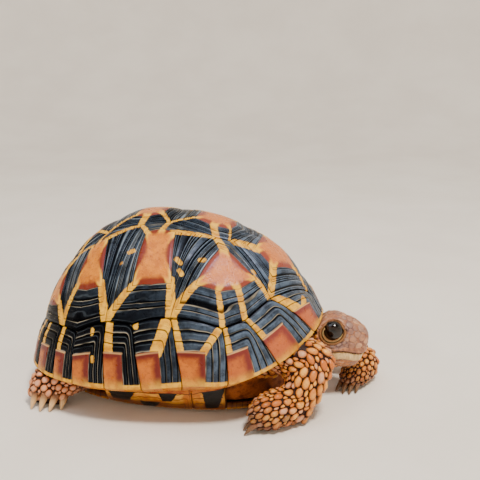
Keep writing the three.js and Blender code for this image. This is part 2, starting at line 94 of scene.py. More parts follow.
def mix(a, b, t):
    return a + (b - a) * t


def bump(value, middle, width):
    return np.exp(-((value - middle) / width) ** 2)


def rise(low, high, value):
    t = np.clip((value - low) / (high - low), 0, 1)
    return t * t * (3 - 2 * t)


# ---- meshes, nodes and colours ----
def outwardFaces(points, faces):
    first = points[[f[0] for f in faces]]
    second = points[[f[1] for f in faces]]
    third = points[[f[2] for f in faces]]
    volume = np.einsum("ij,ij->i", first, np.cross(second, third)).sum()
    return faces if volume > 0 else [f[::-1] for f in faces]


def linkedObject(name, data):
    thing = bpy.data.objects.new(name, data)
    bpy.context.scene.collection.objects.link(thing)
    return thing


def meshPiece(name, points, faces, values=None):
    # points in metres; values are one number for each point, by attribute name
    points = np.asarray(points, float)
    mesh = bpy.data.meshes.new(name)
    mesh.from_pydata(points.tolist(), [], outwardFaces(points, faces))
    for key, numbers in (values or {}).items():
        mesh.attributes.new(key, "FLOAT", "POINT").data.foreach_set("value", np.asarray(numbers, np.float32))
    mesh.shade_smooth()
    return linkedObject(name, mesh)


def facesOf(mesh):
    return [tuple(p.vertices) for p in mesh.polygons]


def pointsOf(mesh):
    flat = np.empty(len(mesh.vertices) * 3)
    mesh.vertices.foreach_get("co", flat)
    return flat.reshape(-1, 3)


def normalsOf(mesh):
    flat = np.empty(len(mesh.vertices) * 3)
    mesh.vertex_normals.foreach_get("vector", flat)
    return flat.reshape(-1, 3)


def valuesOf(mesh, name):
    numbers = np.empty(len(mesh.vertices), np.float32)
    mesh.attributes[name].data.foreach_get("value", numbers)
    return numbers


def addBakeMap(mesh, spots):
    # spots are one place on the map for each point
    corners = np.empty(len(mesh.loops), int)
    mesh.loops.foreach_get("vertex_index", corners)
    mesh.uv_layers.new(name="OFBake").data.foreach_set("uv", spots[corners].astype(np.float32).reshape(-1))


def ringFaces(rowCount, columnCount):
    # rows of points round a plate, closed by one point at each end
    faces = []
    for i in range(rowCount - 1):
        a, b = i * columnCount, (i + 1) * columnCount
        for k in range(columnCount):
            n = (k + 1) % columnCount
            faces.append((a + k, a + n, b + n, b + k))
    first, last = rowCount * columnCount, rowCount * columnCount + 1
    end = (rowCount - 1) * columnCount
    for k in range(columnCount):
        n = (k + 1) % columnCount
        faces.append((first, n, k))
        faces.append((last, end + k, end + n))
    return faces


def sheetFaces(rows, columns):
    # two grids back to back, joined round their edges
    half = rows * columns
    faces = []
    for i in range(rows - 1):
        for j in range(columns - 1):
            a = i * columns + j
            faces.append((a, a + 1, a + columns + 1, a + columns))
            faces.append((half + a, half + a + columns, half + a + columns + 1, half + a + 1))
    border = [(0, j) for j in range(columns - 1)] + [(i, columns - 1) for i in range(rows - 1)]
    border += [(rows - 1, j) for j in range(columns - 1, 0, -1)] + [(i, 0) for i in range(rows - 1, 0, -1)]
    for k, (i, j) in enumerate(border):
        m, n = border[(k + 1) % len(border)]
        a, b = i * columns + j, m * columns + n
        faces.append((b, a, half + a, half + b))
    return faces


def linear(hexColour):
    values = [int(hexColour[i:i + 2], 16) / 255 for i in (1, 3, 5)]
    return [v / 12.92 if v <= 0.04045 else ((v + 0.055) / 1.055) ** 2.4 for v in values] + [1.0]


def newMaterial(name):
    # an empty material, its node tree, and Object coordinates for its patterns
    material = bpy.data.materials.new(name)
    material.use_nodes = True
    tree = material.node_tree
    tree.nodes.clear()
    return material, tree, addNode(tree, "ShaderNodeTexCoord").outputs["Object"]


def addNode(tree, kind, inputs=None, **settings):
    # one node with its settings; an input is a number, a colour or another node's output
    node = tree.nodes.new(kind)
    for key, value in settings.items():
        setattr(node, key, value)
    for key, value in (inputs or {}).items():
        socket = node.inputs[key]
        if isinstance(value, bpy.types.NodeSocket):
            tree.links.new(value, socket)
        else:
            socket.default_value = value
    return node


def attributeOut(tree, name):
    return addNode(tree, "ShaderNodeAttribute", attribute_name=name).outputs["Fac"]


def mathOut(tree, operation, a, b=0.0):
    return addNode(tree, "ShaderNodeMath", {0: a, 1: b}, operation=operation).outputs[0]


def product(tree, *shares):
    total = shares[0]
    for share in shares[1:]:
        total = mathOut(tree, "MULTIPLY", total, share)
    return total


def opposite(tree, share):
    return mathOut(tree, "SUBTRACT", 1.0, share)


def between(tree, share, first, second):
    # first where the share is 0, second where it is 1
    step = mathOut(tree, "SUBTRACT", second, first)
    return addNode(tree, "ShaderNodeMath", {0: share, 1: step, 2: first}, operation="MULTIPLY_ADD").outputs[0]


def stepOut(tree, value, low, high, toLow=0.0, toHigh=1.0):
    # goes from toLow to toHigh as the value goes from low to high
    node = addNode(
        tree, "ShaderNodeMapRange",
        {"Value": value, "From Min": low, "From Max": high, "To Min": toLow, "To Max": toHigh},
        interpolation_type="SMOOTHSTEP",
    )
    return node.outputs["Result"]


def blendOut(tree, share, first, second, kind="MIX"):
    node = addNode(tree, "ShaderNodeMix", data_type="RGBA", blend_type=kind)
    for socket, value in ((node.inputs[0], share), (node.inputs[6], first), (node.inputs[7], second)):
        if isinstance(value, bpy.types.NodeSocket):
            tree.links.new(value, socket)
        else:
            socket.default_value = linear(value) if isinstance(value, str) else value
    return node.outputs[2]


def noiseOut(tree, place, sizeMm, detail=3.0, roughness=0.55, stretch=None):
    # a noise whose lumps are about sizeMm across
    if stretch:
        place = addNode(tree, "ShaderNodeMapping", {"Vector": place, "Scale": stretch}).outputs[0]
    return addNode(
        tree, "ShaderNodeTexNoise",
        {"Vector": place, "Scale": 1 / (sizeMm * mm), "Detail": detail, "Roughness": roughness},
    ).outputs["Fac"]


def finishMaterial(tree, colour, roughness, heights, **shader):
    # heights are (node output, depth in mm) pairs that are added up as bump
    normal = None
    for height, depth in heights:
        inputs = {"Height": height, "Distance": depth * mm, "Strength": 1.0}
        if normal:
            inputs["Normal"] = normal
        normal = addNode(tree, "ShaderNodeBump", inputs).outputs[0]
    inputs = {"Base Color": colour, "Roughness": roughness, **shader}
    if normal:
        inputs["Normal"] = normal
    surface = addNode(tree, "ShaderNodeBsdfPrincipled", inputs)
    output = addNode(tree, "ShaderNodeOutputMaterial")
    tree.links.new(surface.outputs[0], output.inputs[0])


# ---- the shell's surface, on a flat chart: (1, 0) is the front of the rim, (0, 0) the top ----
dome = {
    "halfLength": 45.0, "halfWidth": 34.9, "eggShape": 0.046, "squareness": 2.37,
    "top": 59.7, "topOffset": -2.8,
    "sideRim": 12.7, "frontRise": 3.5, "neckRise": 10.9, "rearDrop": 1.5,
    "frontFlare": 3.3, "rearFlare": 2.5, "flareStart": 0.72,
}
flange = {"width": 7.5, "thick": 1.4, "frontLift": 1.2, "bridgeDrop": 2.4}
bridge = {"frontAngle": 47, "rearAngle": 124, "blend": 8}
upturn = {"height": 1.9, "angle": 70, "ahead": 13, "behind": 24}  # the free edge above the bridge, in degrees


def superellipse(angle, a, b, n):
    return (np.abs(np.cos(angle) / a) ** n + np.abs(np.sin(angle) / b) ** n) ** (-1 / n)


def rimHeight(angle):
    c = np.cos(angle)
    ahead, behind = np.maximum(c, 0), np.maximum(-c, 0)
    lift = dome["frontRise"] * ahead**2 + dome["neckRise"] * ahead**5 - dome["rearDrop"] * behind**3
    return dome["sideRim"] + lift


def rimFlare(angle):
    c = np.cos(angle)
    return dome["frontFlare"] * np.maximum(c, 0) ** 4 + dome["rearFlare"] * np.maximum(-c, 0) ** 2


def planRadius(angle):
    side = dome["halfWidth"] * (1 - dome["eggShape"] * np.cos(angle))
    return superellipse(angle, dome["halfLength"], side, dome["squareness"])


def onDome(u, v):
    u, v = np.broadcast_arrays(np.asarray(u, float), np.asarray(v, float))
    angle = np.arctan2(v, u)
    share = np.hypot(u, v)
    slope = np.minimum(share, 1.02) * math.pi / 2
    c = np.cos(angle)
    turned = np.maximum((share - dome["flareStart"]) / (1 - dome["flareStart"]), 0) ** 2
    radius = planRadius(angle) * np.maximum(np.sin(slope), 0) ** (0.996 - 0.036 * c)
    radius = radius + rimFlare(angle) * turned
    up = np.maximum(np.cos(np.minimum(slope, math.pi / 2)), 0) ** (1.086 - 0.012 * c)
    z = rimHeight(angle) + (dome["top"] - rimHeight(angle)) * up
    shift = dome["topOffset"] * np.cos(slope) ** 2
    return np.stack([radius * c + shift, radius * np.sin(angle), z], -1)


def domeNormal(u, v):
    step = 0.004
    share = np.maximum(np.hypot(u, v), 1e-6)
    inward = np.minimum(1, 0.99 / share)
    a, b = u * inward, v * inward
    normal = np.cross(onDome(a + step, b) - onDome(a - step, b), onDome(a, b + step) - onDome(a, b - step))
    return normal / np.linalg.norm(normal, axis=-1, keepdims=True)


def shellPoint(u, v, height=0.0):
    u, v = np.asarray(u, float), np.asarray(v, float)
    return onDome(u, v) + domeNormal(u, v) * np.asarray(height, float)[..., None]


def degreesFromFront(angle):
    return np.abs(np.degrees(np.arctan2(np.sin(angle), np.cos(angle))))


def rimLift(angle):
    away = degreesFromFront(angle) - upturn["angle"]
    return upturn["height"] * bump(away, 0, np.where(away < 0, upturn["ahead"], upturn["behind"]))


def onRim(angle, inward, lift):
    radius = planRadius(angle) + rimFlare(angle) - inward
    z = rimHeight(angle) + rimLift(angle) + lift
    return np.stack([radius * np.cos(angle), radius * np.sin(angle), z], -1)


def bridgeShare(angle):
    degrees = degreesFromFront(angle)
    rising = np.clip((degrees - bridge["frontAngle"]) / bridge["blend"] + 0.5, 0, 1)
    return rising * np.clip((bridge["rearAngle"] - degrees) / bridge["blend"] + 0.5, 0, 1)


def flangeLift(angle):
    return mix(flange["frontLift"], -flange["bridgeDrop"] - rimLift(angle), bridgeShare(angle))


def flangeInner(angle, inward=0.0, lift=0.0):
    return onRim(angle, flange["width"] + inward, flangeLift(angle) + lift)


def waves(position, turns, seed, count=5):
    # a smooth random line that closes on itself after `turns`
    random = np.random.default_rng(seed)
    total = np.zeros_like(position)
    for k in range(1, count + 1):
        total += random.uniform(-1, 1) * np.sin(2 * math.pi * k * position / turns + random.uniform(0, 7)) / k
    return total


def rayField(points, lines):
    # how far inside the nearest pale ray each point lies, in mm; negative outside
    field = np.full(points.shape[:-1], -9.0)
    for line, startWidth, endWidth in lines:
        for k in range(len(line) - 1):
            a, along = line[k], line[k + 1] - line[k]
            t = np.clip(((points - a) @ along) / (along @ along), 0, 1)
            away = np.linalg.norm(points - a - t[..., None] * along, axis=-1)
            width = mix(startWidth, endWidth, (k + t) / (len(line) - 1))
            field = np.maximum(field, width / 2 - away)
    return field


# ---- growth ridges: a plate grows by one low ridge after another round its first small plate ----
growth = {
    "rings": 4,  # broad ridges from the first plate to the seam
    "fineRidges": 2,  # narrow ones on each of them, strongest on the front and rear panels
    "height": 0.3, "fineHeight": 0.16,
    "firstPlate": 0.28,  # how far the first plate stands above the ridges
    "hollow": 0.3,  # and how much its middle sinks
    "seamDrop": 0.24, "seamWidth": 0.32,
    "straighten": 0.32,  # ridges run straight past a corner of the seam, by this share of a ridge
    "uneven": 0.28, "wander": 0.14,  # how much the ridges differ in width, and how much they wander
    "glowWidth": 3.6,  # inside the first plate a ray starts this wide
}


def ridgeHeight(ring, fineShare):
    coarse = np.abs(np.sin(math.pi * ring)) ** 0.35
    fine = np.sin(growth["fineRidges"] * math.pi * ring) ** 2 - 1
    return growth["height"] * coarse + growth["fineHeight"] * fine * fineShare


scute = {"thick": 1.5, "seamDepth": 0.5, "rise": 0.9, "around": 150, "rowsPerRing": 20, "innerRows": 16}


def alongPolygon(corners, position):
    corners = np.asarray(corners, float)
    index = np.floor(position).astype(int)
    share = (position - index)[:, None]
    return mix(corners[index % len(corners)], corners[(index + 1) % len(corners)], share)


def backPlate(name, corners, firstPlate, rays, pink, seed, fineEverywhere=0.15, straightAt=()):
    # rays are (position along the first plate, position along the seam, start width, end width), and the
    # optional last pair is the stretch of that line that is pale
    count = len(corners)
    edges = np.linalg.norm(np.diff(np.vstack([corners, corners[:1]]), axis=0), axis=1)
    perEdge = np.maximum((scute["around"] * edges / edges.sum()).astype(int), 8)
    position = np.concatenate([i + np.arange(n) / n for i, n in enumerate(perEdge)])
    outer, inner = alongPolygon(corners, position), alongPolygon(firstPlate, position)
    centre = np.mean(firstPlate, axis=0)
    middle = np.mean(corners, axis=0)
    rings = growth["rings"]
    t = np.concatenate([np.linspace(-0.92, 0, scute["innerRows"])[:-1],
                        np.linspace(0, 1, rings * scute["rowsPerRing"] + 1)])[:, None]
    inside = np.minimum(t, 0)[..., None]
    chart = mix(inner, outer, np.maximum(t, 0)[..., None])
    chart = chart + (centre - inner) * -inside
    flat = onDome(chart[..., 0], chart[..., 1])
    outerPoints, innerPoints = onDome(*outer.T), onDome(*inner.T)
    growthLength = np.linalg.norm(outerPoints - innerPoints, axis=-1)
    reach = np.linalg.norm(flat - onDome(*middle), axis=-1)
    share = reach / np.maximum(np.linalg.norm(outerPoints - onDome(*middle), axis=-1), 1e-6)
    grown = np.clip(t, 0, 1)
    awayFromEnds = rise(0, 0.15, grown) * rise(1, 0.85, grown)
    uneven = growth["uneven"] * np.sin(2 * math.pi * (2 * grown + 0.37 * seed)) * awayFromEnds
    warp = growth["wander"] * waves(position, count, seed) * np.sin(math.pi * grown)
    for corner in straightAt:
        warp = warp + growth["straighten"] * bump(position, corner, 0.3) * np.sin(math.pi * grown)
    ring = np.maximum(t, 0) * rings + warp + uneven
    lengthwise = np.abs(outerPoints - innerPoints)[:, 0] / np.maximum(growthLength, 1e-6)
    fineShare = np.maximum(rise(0.3, 0.75, lengthwise), fineEverywhere)[None, :] * np.ones_like(t)
    ringWidth = growthLength / rings
    calm = np.clip(ringWidth / 1.3, 0.3, 1)  # crowded rings are lower
    seamAway = (1 - t) * growthLength
    # the first plate is a low table with a rounded edge and a slightly sunk middle
    table = growth["firstPlate"] * (1 - rise(-0.16, 0.05, t))
    table = table - growth["hollow"] * rise(0.1, 0.9, -t)
    height = scute["rise"] * (1 - np.minimum(share, 1) ** 2) - scute["seamDepth"] + table
    height = height + np.where(t > 0, ridgeHeight(ring, fineShare) * calm * rise(0, 0.03, t), 0)
    height = height - growth["seamDrop"] * (1 - rise(0, growth["seamWidth"], seamAway))
    points = flat + domeNormal(chart[..., 0], chart[..., 1]) * height[..., None]
    lines, glowLines = [], []
    for ray in rays:
        fromPlate, toSeam, startWidth, endWidth = ray[:4]
        start = alongPolygon(firstPlate, np.array([fromPlate]))[0]
        end = alongPolygon(corners, np.array([toSeam]))[0]
        low, high = ray[4:] or (-0.1, 1.0)
        steps = np.linspace(low, high, 12)[:, None]
        lines.append((onDome(*mix(start, end, steps).T), startWidth, endWidth))
        if low <= 0:  # inside the first plate the ray goes on as a broad glow towards the middle
            steps = np.linspace(0.15, 1.05, 8)[:, None]
            glowLines.append((onDome(*mix(centre, start, steps).T), growth["glowWidth"], startWidth))
    ray, glow = rayField(flat, lines), rayField(flat, glowLines)
    # how far inside the first plate each point lies, in mm; negative outside
    first = -t * np.where(t > 0, growthLength, np.linalg.norm(innerPoints - onDome(*centre), axis=-1))
    rows = len(t)
    deep = np.array([-scute["seamDepth"] - scute["thick"]])
    under = [shellPoint(*outer.T, deep), shellPoint(*mix(centre, outer, 0.5).T, deep)]
    topHeight = scute["rise"] - scute["seamDepth"] + growth["firstPlate"] - growth["hollow"]
    top = shellPoint(*centre, topHeight)
    allPoints = np.concatenate([points.reshape(-1, 3), *under, [top], shellPoint(*centre[:, None], deep)])
    extra = 2 * len(position)

    def padded(field, poleValue):
        body = np.broadcast_to(field, (rows, len(position))).reshape(-1)
        return np.concatenate([body, np.full(extra, body[-1]), [poleValue, body[-1]]])

    values = {
        "ray": padded(ray, -9), "ring": padded(np.maximum(ring, 0), 0), "first": padded(first, first.max()),
        "pink": np.full(len(allPoints), pink), "glow": padded(glow, 2), "fine": padded(fineShare, 0),
    }
    piece = meshPiece(name + "_horn", toFrame(allPoints), ringFaces(rows + 2, len(position)), values)
    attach(piece, "root")
    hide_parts(name)
    return piece


# corners on the chart, left side: where vertebrals meet costals, and where costals meet marginals
upper = {
    "front": (0.83, 0), "v1v2": (0.328, 0.149), "v1v2Middle": (0.39, 0), "c1c2": (0.274, 0.165),
    "v2v3": (0.059, 0.154), "c2c3": (-0.097, 0.175), "v3v4": (-0.26, 0.15), "c3c4": (-0.43, 0.175),
    "v4v5": (-0.5, 0.15),
}
lower = [
    upper["front"], (0.62, 0.316), (0.55, 0.487), (0.456, 0.583), (0.152, 0.658), (-0.105, 0.702),
    (-0.275, 0.649), (-0.471, 0.603), (-0.56, 0.513), (-0.671, 0.388), (-0.742, 0.27), (-0.781, 0.117),
]
rimSeams = np.radians([0, 13, 32.6, 52.7, 72.8, 92.8, 110.8, 126.3, 136.8, 149.3, 160.5, 171.5])


def mirrored(corners):
    return [(u, -v) for u, v in corners]


def bothSides(half):
    return list(half) + mirrored([c for c in half if c[1] != 0])[::-1]


def bothRays(half, count):
    # the same rays on the other side of the middle line; rays on it are given once
    rays = list(half)
    for ray in half:
        opposite = count - 1 - ray[1]
        if ray[1] != opposite and ray[1] != (count - 1) / 2:
            rays.append((opposite, opposite, *ray[2:]))
    return rays


# each plate: its corners, the corners of its first small plate and its rays; the first plate's seam with
# the second one bends forwards at the middle line
vertebrals = [
    ([upper["v1v2"], lower[1], upper["front"]], [(0.445, 0.12), (0.56, 0.165), (0.69, 0)],
     [(0, 0, 3.4, 2.6), (1, 1, 2.6, 2.0), (2, 2, 2.6, 2.2)]),
    ([upper["v2v3"], upper["c1c2"], upper["v1v2"], upper["v1v2Middle"]],
     [(0.145, 0.065), (0.235, 0.095), (0.305, 0.07), (0.32, 0)],
     [(0, 0, 0.9, 0.8), (1, 1, 2.2, 2.2), (2, 2, 0.7, 0.7)]),
    ([upper["v3v4"], upper["c2c3"], upper["v2v3"]], [(-0.135, 0.075), (-0.08, 0.1), (0.005, 0.08)],
     [(0, 0, 1.3, 1.0), (1, 1, 2.2, 2.0), (2, 2, 1.6, 1.2)]),
    ([upper["v4v5"], upper["c3c4"], upper["v3v4"]], [(-0.425, 0.08), (-0.385, 0.1), (-0.325, 0.08)],
     [(0, 0, 1.2, 1.0), (1, 1, 1.8, 1.6), (2, 2, 1.4, 1.2)]),
    ([lower[11], lower[10], upper["v4v5"]], [(-0.7, 0.06), (-0.66, 0.12), (-0.575, 0.09)],
     [(0, 0, 1.4, 1.4), (1, 1, 1.8, 1.8), (2, 2, 1.6, 1.4)]),
]
costals = [
    ([upper["v1v2"], lower[1], lower[2], lower[3], lower[4], upper["c1c2"]],
     [(0.352, 0.225), (0.512, 0.285), (0.465, 0.375), (0.388, 0.438), (0.268, 0.468), (0.315, 0.228)],
     [(5.4, 5, 2.6, 2.2), (1, 1, 1.5, 2.4), (2.1, 2, 1.9, 1.7), (3.1, 3, 1.5, 1.6), (4, 4, 2.0, 3.0),
      (0.55, 0.62, 1.4, 1.4, 0.64, 0.76), (4.62, 4.62, 1.5, 1.5, 0.34, 0.6)]),
    ([upper["c1c2"], lower[4], lower[5], lower[6], upper["c2c3"], upper["v2v3"]],
     [(0.106, 0.232), (0.135, 0.51), (0.02, 0.535), (-0.095, 0.535), (-0.05, 0.25), (0.035, 0.225)],
     [(4, 4, 1.6, 1.3), (5, 5, 1.8, 1.4), (0, 0, 2.2, 1.5), (3, 3, 1.9, 2.6), (1, 1, 2.2, 3.0),
      (0.5, 0.52, 1.6, 1.6, 0.3, 0.54), (0.6, 0.6, 1.4, 1.4, 0.62, 0.82),
      (3.62, 3.6, 1.6, 1.6, 0.4, 0.62), (3.5, 3.5, 0.9, 0.9, 0.84, 0.92)]),
    ([upper["c2c3"], lower[6], lower[7], lower[8], upper["c3c4"], upper["v3v4"]],
     [(-0.248, 0.215), (-0.276, 0.485), (-0.36, 0.462), (-0.424, 0.415), (-0.337, 0.205), (-0.292, 0.195)],
     [(0, 0, 1.8, 1.4), (5, 5, 1.3, 1.2), (1, 1, 2.0, 2.8), (3, 3, 1.5, 2.0), (4, 4, 1.2, 1.2)]),
    ([upper["c3c4"], lower[8], lower[9], lower[10], upper["v4v5"]],
     [(-0.487, 0.215), (-0.545, 0.405), (-0.612, 0.345), (-0.665, 0.27), (-0.545, 0.195)],
     [(0, 0, 1.6, 1.3), (1, 1, 1.6, 2.2), (3, 3, 1.4, 1.8), (4, 4, 1.2, 1.2)]),
]

for i, (half, firstHalf, rays) in enumerate(vertebrals):
    corners, firstPlate = bothSides(half), bothSides(firstHalf)
    rays = bothRays(rays, len(corners))
    if i == 0:
        corners, firstPlate = corners + [upper["v1v2Middle"]], firstPlate + [(0.45, 0)]
    backPlate(f"vertebral_{i + 1}", np.array(corners), np.array(firstPlate), rays,
              pink=0.9 - 0.2 * i, seed=11 + i, fineEverywhere=0.9)
costalPink = (0.7, 0.15, 0.05, 0.0)
for side, turn, firstSeed in (("right", mirrored, 31), ("left", list, 41)):
    for i, (corners, firstPlate, rays) in enumerate(costals):
        backPlate(f"costal_{side}_{i + 1}", np.array(turn(corners)), np.array(turn(firstPlate)), rays,
                  pink=costalPink[i], seed=firstSeed + i, straightAt=(2,) if i else ())
print("back plates made")

# ---- marginals: down the side, round the rim and in along the underside ----
marginal = {
    "columns": 40, "downRows": 50, "rollRows": 18, "rings": 3,
    "firstStart": 0.42,  # the first plate begins this far back from the front seam
    "firstTop": 0.42,  # and this far down from the top
    "firstRise": 0.42, "crest": 0.2,
    "ridge": 0.2, "seamDrop": 0.45, "seamWidth": 0.5,
    "innerDown": 0.72,  # the inner face leaves the dome this far down
}
marginalPink = {1: 1.0, 2: 1.0, 3: 0.5}  # the others aren't pink
# rays of each marginal: from (across, down) to (across, down), widths in mm; across runs front to rear
rearRay = ((0.97, 0.0), (0.93, 0.45))
marginalRays = {
    1: [((1, 0), (0.9, 0.5), 4.2, 5.0), ((0.5, 0.3), (1, 0.75), 2.5, 3.5)],
    2: [(*rearRay, 2.0, 2.2)],
    3: [(*rearRay, 2.2, 2.6), ((0.98, 0.4), (0.97, 0.95), 1.6, 2.0)],
    4: [(*rearRay, 2.6, 2.8), ((0.03, 0.0), (0.45, 0.43), 2.0, 2.2)],
    5: [((0.05, -0.02), (0.5, 0.44), 3.6, 3.6), ((0.9, 0.0), (0.9, 0.05), 1.8, 1.6)],
    6: [((0.9, 0.0), (0.86, 0.45), 3.4, 3.4)],
    7: [((0.4, 0.08), (0.4, 0.14), 1.3, 1.1), ((0.32, 0.5), (0.32, 0.56), 1.2, 1.0)],
    8: [((0.86, 0.0), (0.84, 0.45), 2.2, 2.0)],
    9: [((0.88, 0.0), (0.85, 0.45), 2.0, 1.8)],
    10: [((0.5, 0.0), (0.7, 0.42), 1.6, 1.8)],
    11: [((0.9, 0.0), (0.85, 0.42), 1.8, 1.8)],
    12: [((0.0, 0.0), (0.3, 0.4), 1.6, 1.6), ((1.0, 0.0), (0.7, 0.4), 1.6, 1.6)],
}


def rimPlate(name, number, topSeam, angles, seed):
    a = np.linspace(0, 1, marginal["columns"])[None, :]
    down = np.linspace(0, 1, marginal["downRows"])[:, None]
    angle = mix(angles[0], angles[1], a)
    topU, topV = mix(topSeam[0][0], topSeam[1][0], a), mix(topSeam[0][1], topSeam[1][1], a)
    u, v = mix(topU, np.cos(angle), down), mix(topV, np.sin(angle), down)
    flat = onDome(u, v)
    width = np.linalg.norm(flat[:, 0] - flat[:, -1], axis=-1)[:, None]
    tall = np.linalg.norm(flat[0] - flat[-1], axis=-1)[None, :]
    middlePiece = number == 12
    start, topEdge = (0.25 if middlePiece else marginal["firstStart"]), marginal["firstTop"]
    slant = start + 0.1 * (down - topEdge)
    forward = (slant - a) / start
    if middlePiece:
        forward = np.maximum(forward, (a - (1 - slant)) / start)
    upward = (topEdge - down) / topEdge
    wobble = 0.02 * waves(down[:, 0], 1.3, seed)[:, None] + 0.02 * waves(a[0], 1.3, seed + 1)
    growthAt = np.maximum(np.maximum(forward, 0) ** 6 + np.maximum(upward, 0) ** 6, 1e-12) ** (1 / 6) + wobble
    outside = (forward > 0) | (upward > 0)
    growthAt = np.where(outside, np.maximum(growthAt, 0), 0)
    ring = growthAt * marginal["rings"]
    aheadOfFirst, aboveFirst = forward * start * width, upward * topEdge * tall
    insideBy = np.where(outside, -growthAt * 5, np.minimum(-aheadOfFirst, -aboveFirst))
    seamAway = np.minimum(a, 1 - a) * width
    fineShare = np.where(np.maximum(forward, 0) > np.maximum(upward, 0), 1, 0.4)
    ridge = np.abs(np.sin(math.pi * ring)) ** 0.5
    ridge = ridge + 0.25 * fineShare * (np.abs(np.sin(2 * math.pi * ring)) ** 0.6 - 1)
    height = mix(-scute["seamDepth"], 0.15, rise(0, 0.3, down)) * np.ones_like(a)
    height = height + np.where(outside, marginal["ridge"] * ridge * rise(0, 0.12, growthAt), 0)
    height = height + marginal["firstRise"] * rise(-0.35, 0.25, insideBy) * (1 - 0.6 * rise(topEdge, 1, down))
    height = height + marginal["crest"] * bump(aboveFirst, -0.1, 0.22) * rise(-0.3, 0.3, insideBy)
    height = height - growth["seamDrop"] * (1 - rise(0, growth["seamWidth"], down * tall))
    inSeam = 1 - rise(0, marginal["seamWidth"], seamAway)
    height = height - marginal["seamDrop"] * inSeam * rise(-1, 0.1, down)
    outerDown = flat + domeNormal(u, v) * height[..., None]
    outerDown[..., 2] += rimLift(angle) * rise(0.35, 1, down)
    # the rim rolls under and runs in to the flange's inner edge
    roll = np.linspace(0, 1, marginal["rollRows"] + 1)[1:, None, None]
    p0, p1 = outerDown[-1][None], onRim(angle[0], 0.1, -1.0)[None]
    p2 = onRim(angle[0], 2.6, mix(-0.7, -2.4 - 0.5 * rimLift(angle[0]), bridgeShare(angle[0])))[None]
    p3 = flangeInner(angle[0])[None]
    rest = 1 - roll
    under = rest**3 * p0 + 3 * roll * rest**2 * p1 + 3 * roll**2 * rest * p2 + roll**3 * p3
    growthLines = 0.1 * np.abs(np.sin(math.pi * 5 * roll[..., 0])) ** 0.6 * rise(0.15, 0.4, roll[..., 0])
    under[..., 2] += 0.3 * inSeam[-1] * rest[..., 0] - growthLines + 0.1
    outer = np.concatenate([outerDown, under])
    # the inner skin follows the outer one, a plate's thickness further in
    rows = len(outer)
    deep = -scute["seamDepth"] - scute["thick"]
    innerShare = down * marginal["innerDown"]
    innerU, innerV = mix(topU, np.cos(angle), innerShare), mix(topV, np.sin(angle), innerShare)
    innerDown = shellPoint(innerU, innerV, np.array([[deep]]))
    innerUnder = mix(innerDown[-1][None], flangeInner(angle[0], 0, flange["thick"])[None], roll)
    inner = np.concatenate([innerDown, innerUnder])
    both = np.concatenate([outer.reshape(-1, 3), inner.reshape(-1, 3)])

    def place(across, drop):
        turn = mix(angles[0], angles[1], across)
        top = mix(np.array(topSeam[0]), np.array(topSeam[1]), across)
        return onDome(mix(top[0], math.cos(turn), drop), mix(top[1], math.sin(turn), drop))

    lines = []
    for (a0, d0), (a1, d1), w0, w1 in marginalRays[number]:
        line = np.array([place(mix(a0, a1, k / 8), mix(d0, d1, k / 8)) for k in range(9)])
        lines.append((line, w0, w1))
    ray = rayField(flat, lines)

    def padded(field, underValue):
        body = np.broadcast_to(field, (marginal["downRows"], marginal["columns"])).reshape(-1)
        rest = np.broadcast_to(underValue, (marginal["rollRows"], marginal["columns"])).reshape(-1)
        return np.tile(np.concatenate([body, rest]), 2)

    underside = np.broadcast_to(roll[..., 0], (marginal["rollRows"], marginal["columns"]))
    values = {
        "ray": padded(ray, -9.0), "ring": padded(ring, 0), "first": padded(insideBy, insideBy[-1][None]),
        "down": padded(down, 1 + underside), "seam": padded(seamAway, seamAway[-1][None]),
        "crest": padded(bump(aboveFirst, -0.1, 0.1) * rise(-0.1, 0.2, insideBy + 0.3), 0),
        "fine": padded(0.2 * np.ones_like(a * down), 0), "glow": padded(-9 * np.ones_like(a * down), -9),
        "pink": np.full(len(both), marginalPink.get(number, 0.0)),
    }
    piece = meshPiece(name + "_horn", toFrame(both), sheetFaces(rows, marginal["columns"]), values)
    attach(piece, "root")
    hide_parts(name)
    return piece


for side, sign, turn in (("right", -1, mirrored), ("left", 1, list)):
    for i in range(11):
        topSeam, angles = turn(lower[i:i + 2]), sign * rimSeams[i:i + 2]
        rimPlate(f"marginal_{side}_{i + 1:02d}", i + 1, topSeam, angles, seed=60 + i)
tailSeam, tailAngles = bothSides([lower[11]]), [rimSeams[11], 2 * math.pi - rimSeams[11]]
rimPlate("supracaudal", 12, tailSeam, tailAngles, seed=90)
print("marginals made")

# ---- horn ----
hornColours = {
    "black": "#020203", "slateSheen": "#4C5C70", "glint": "#93A3B2", "paleHighlightLine": "#B5AC98",
    "ray": "#F2BA3A", "rayDeep": "#C98A24", "line": "#3E1C0C",
    "first": "#BE6C14", "firstPale": "#DE871A", "firstEdge": "#74290F",
    "pink": "#CF7844", "pinkEdge": "#8E4636", "crest": "#F0C080", "shaded": "#E4CEDC",
    "rim": "#EDB434", "under": "#B4661A", "underLine": "#5A1E0C", "seam": "#4A2A20",
    "backReflectionBlue": "#C4D4FF", "rimReflectionBlue": "#D0DCFF",  # painted reflection: a blue tint on the reflections, standing in for a reflected blue sky
}

# where the painted slate sheen and the stronger gloss start and end, in mm from the middle of the shell and
# from the floor
sheen = {"rear": -8, "front": 32, "low": 30, "high": 48, "topShare": 0.34}


def ragged(tree, place, name, sizeMm, byMm):
    # a distance in mm with a frayed edge
    rough = mathOut(tree, "SUBTRACT", noiseOut(tree, place, sizeMm, 3.0), 0.5)
    return mathOut(tree, "ADD", attributeOut(tree, name), mathOut(tree, "MULTIPLY", rough, 2 * byMm))


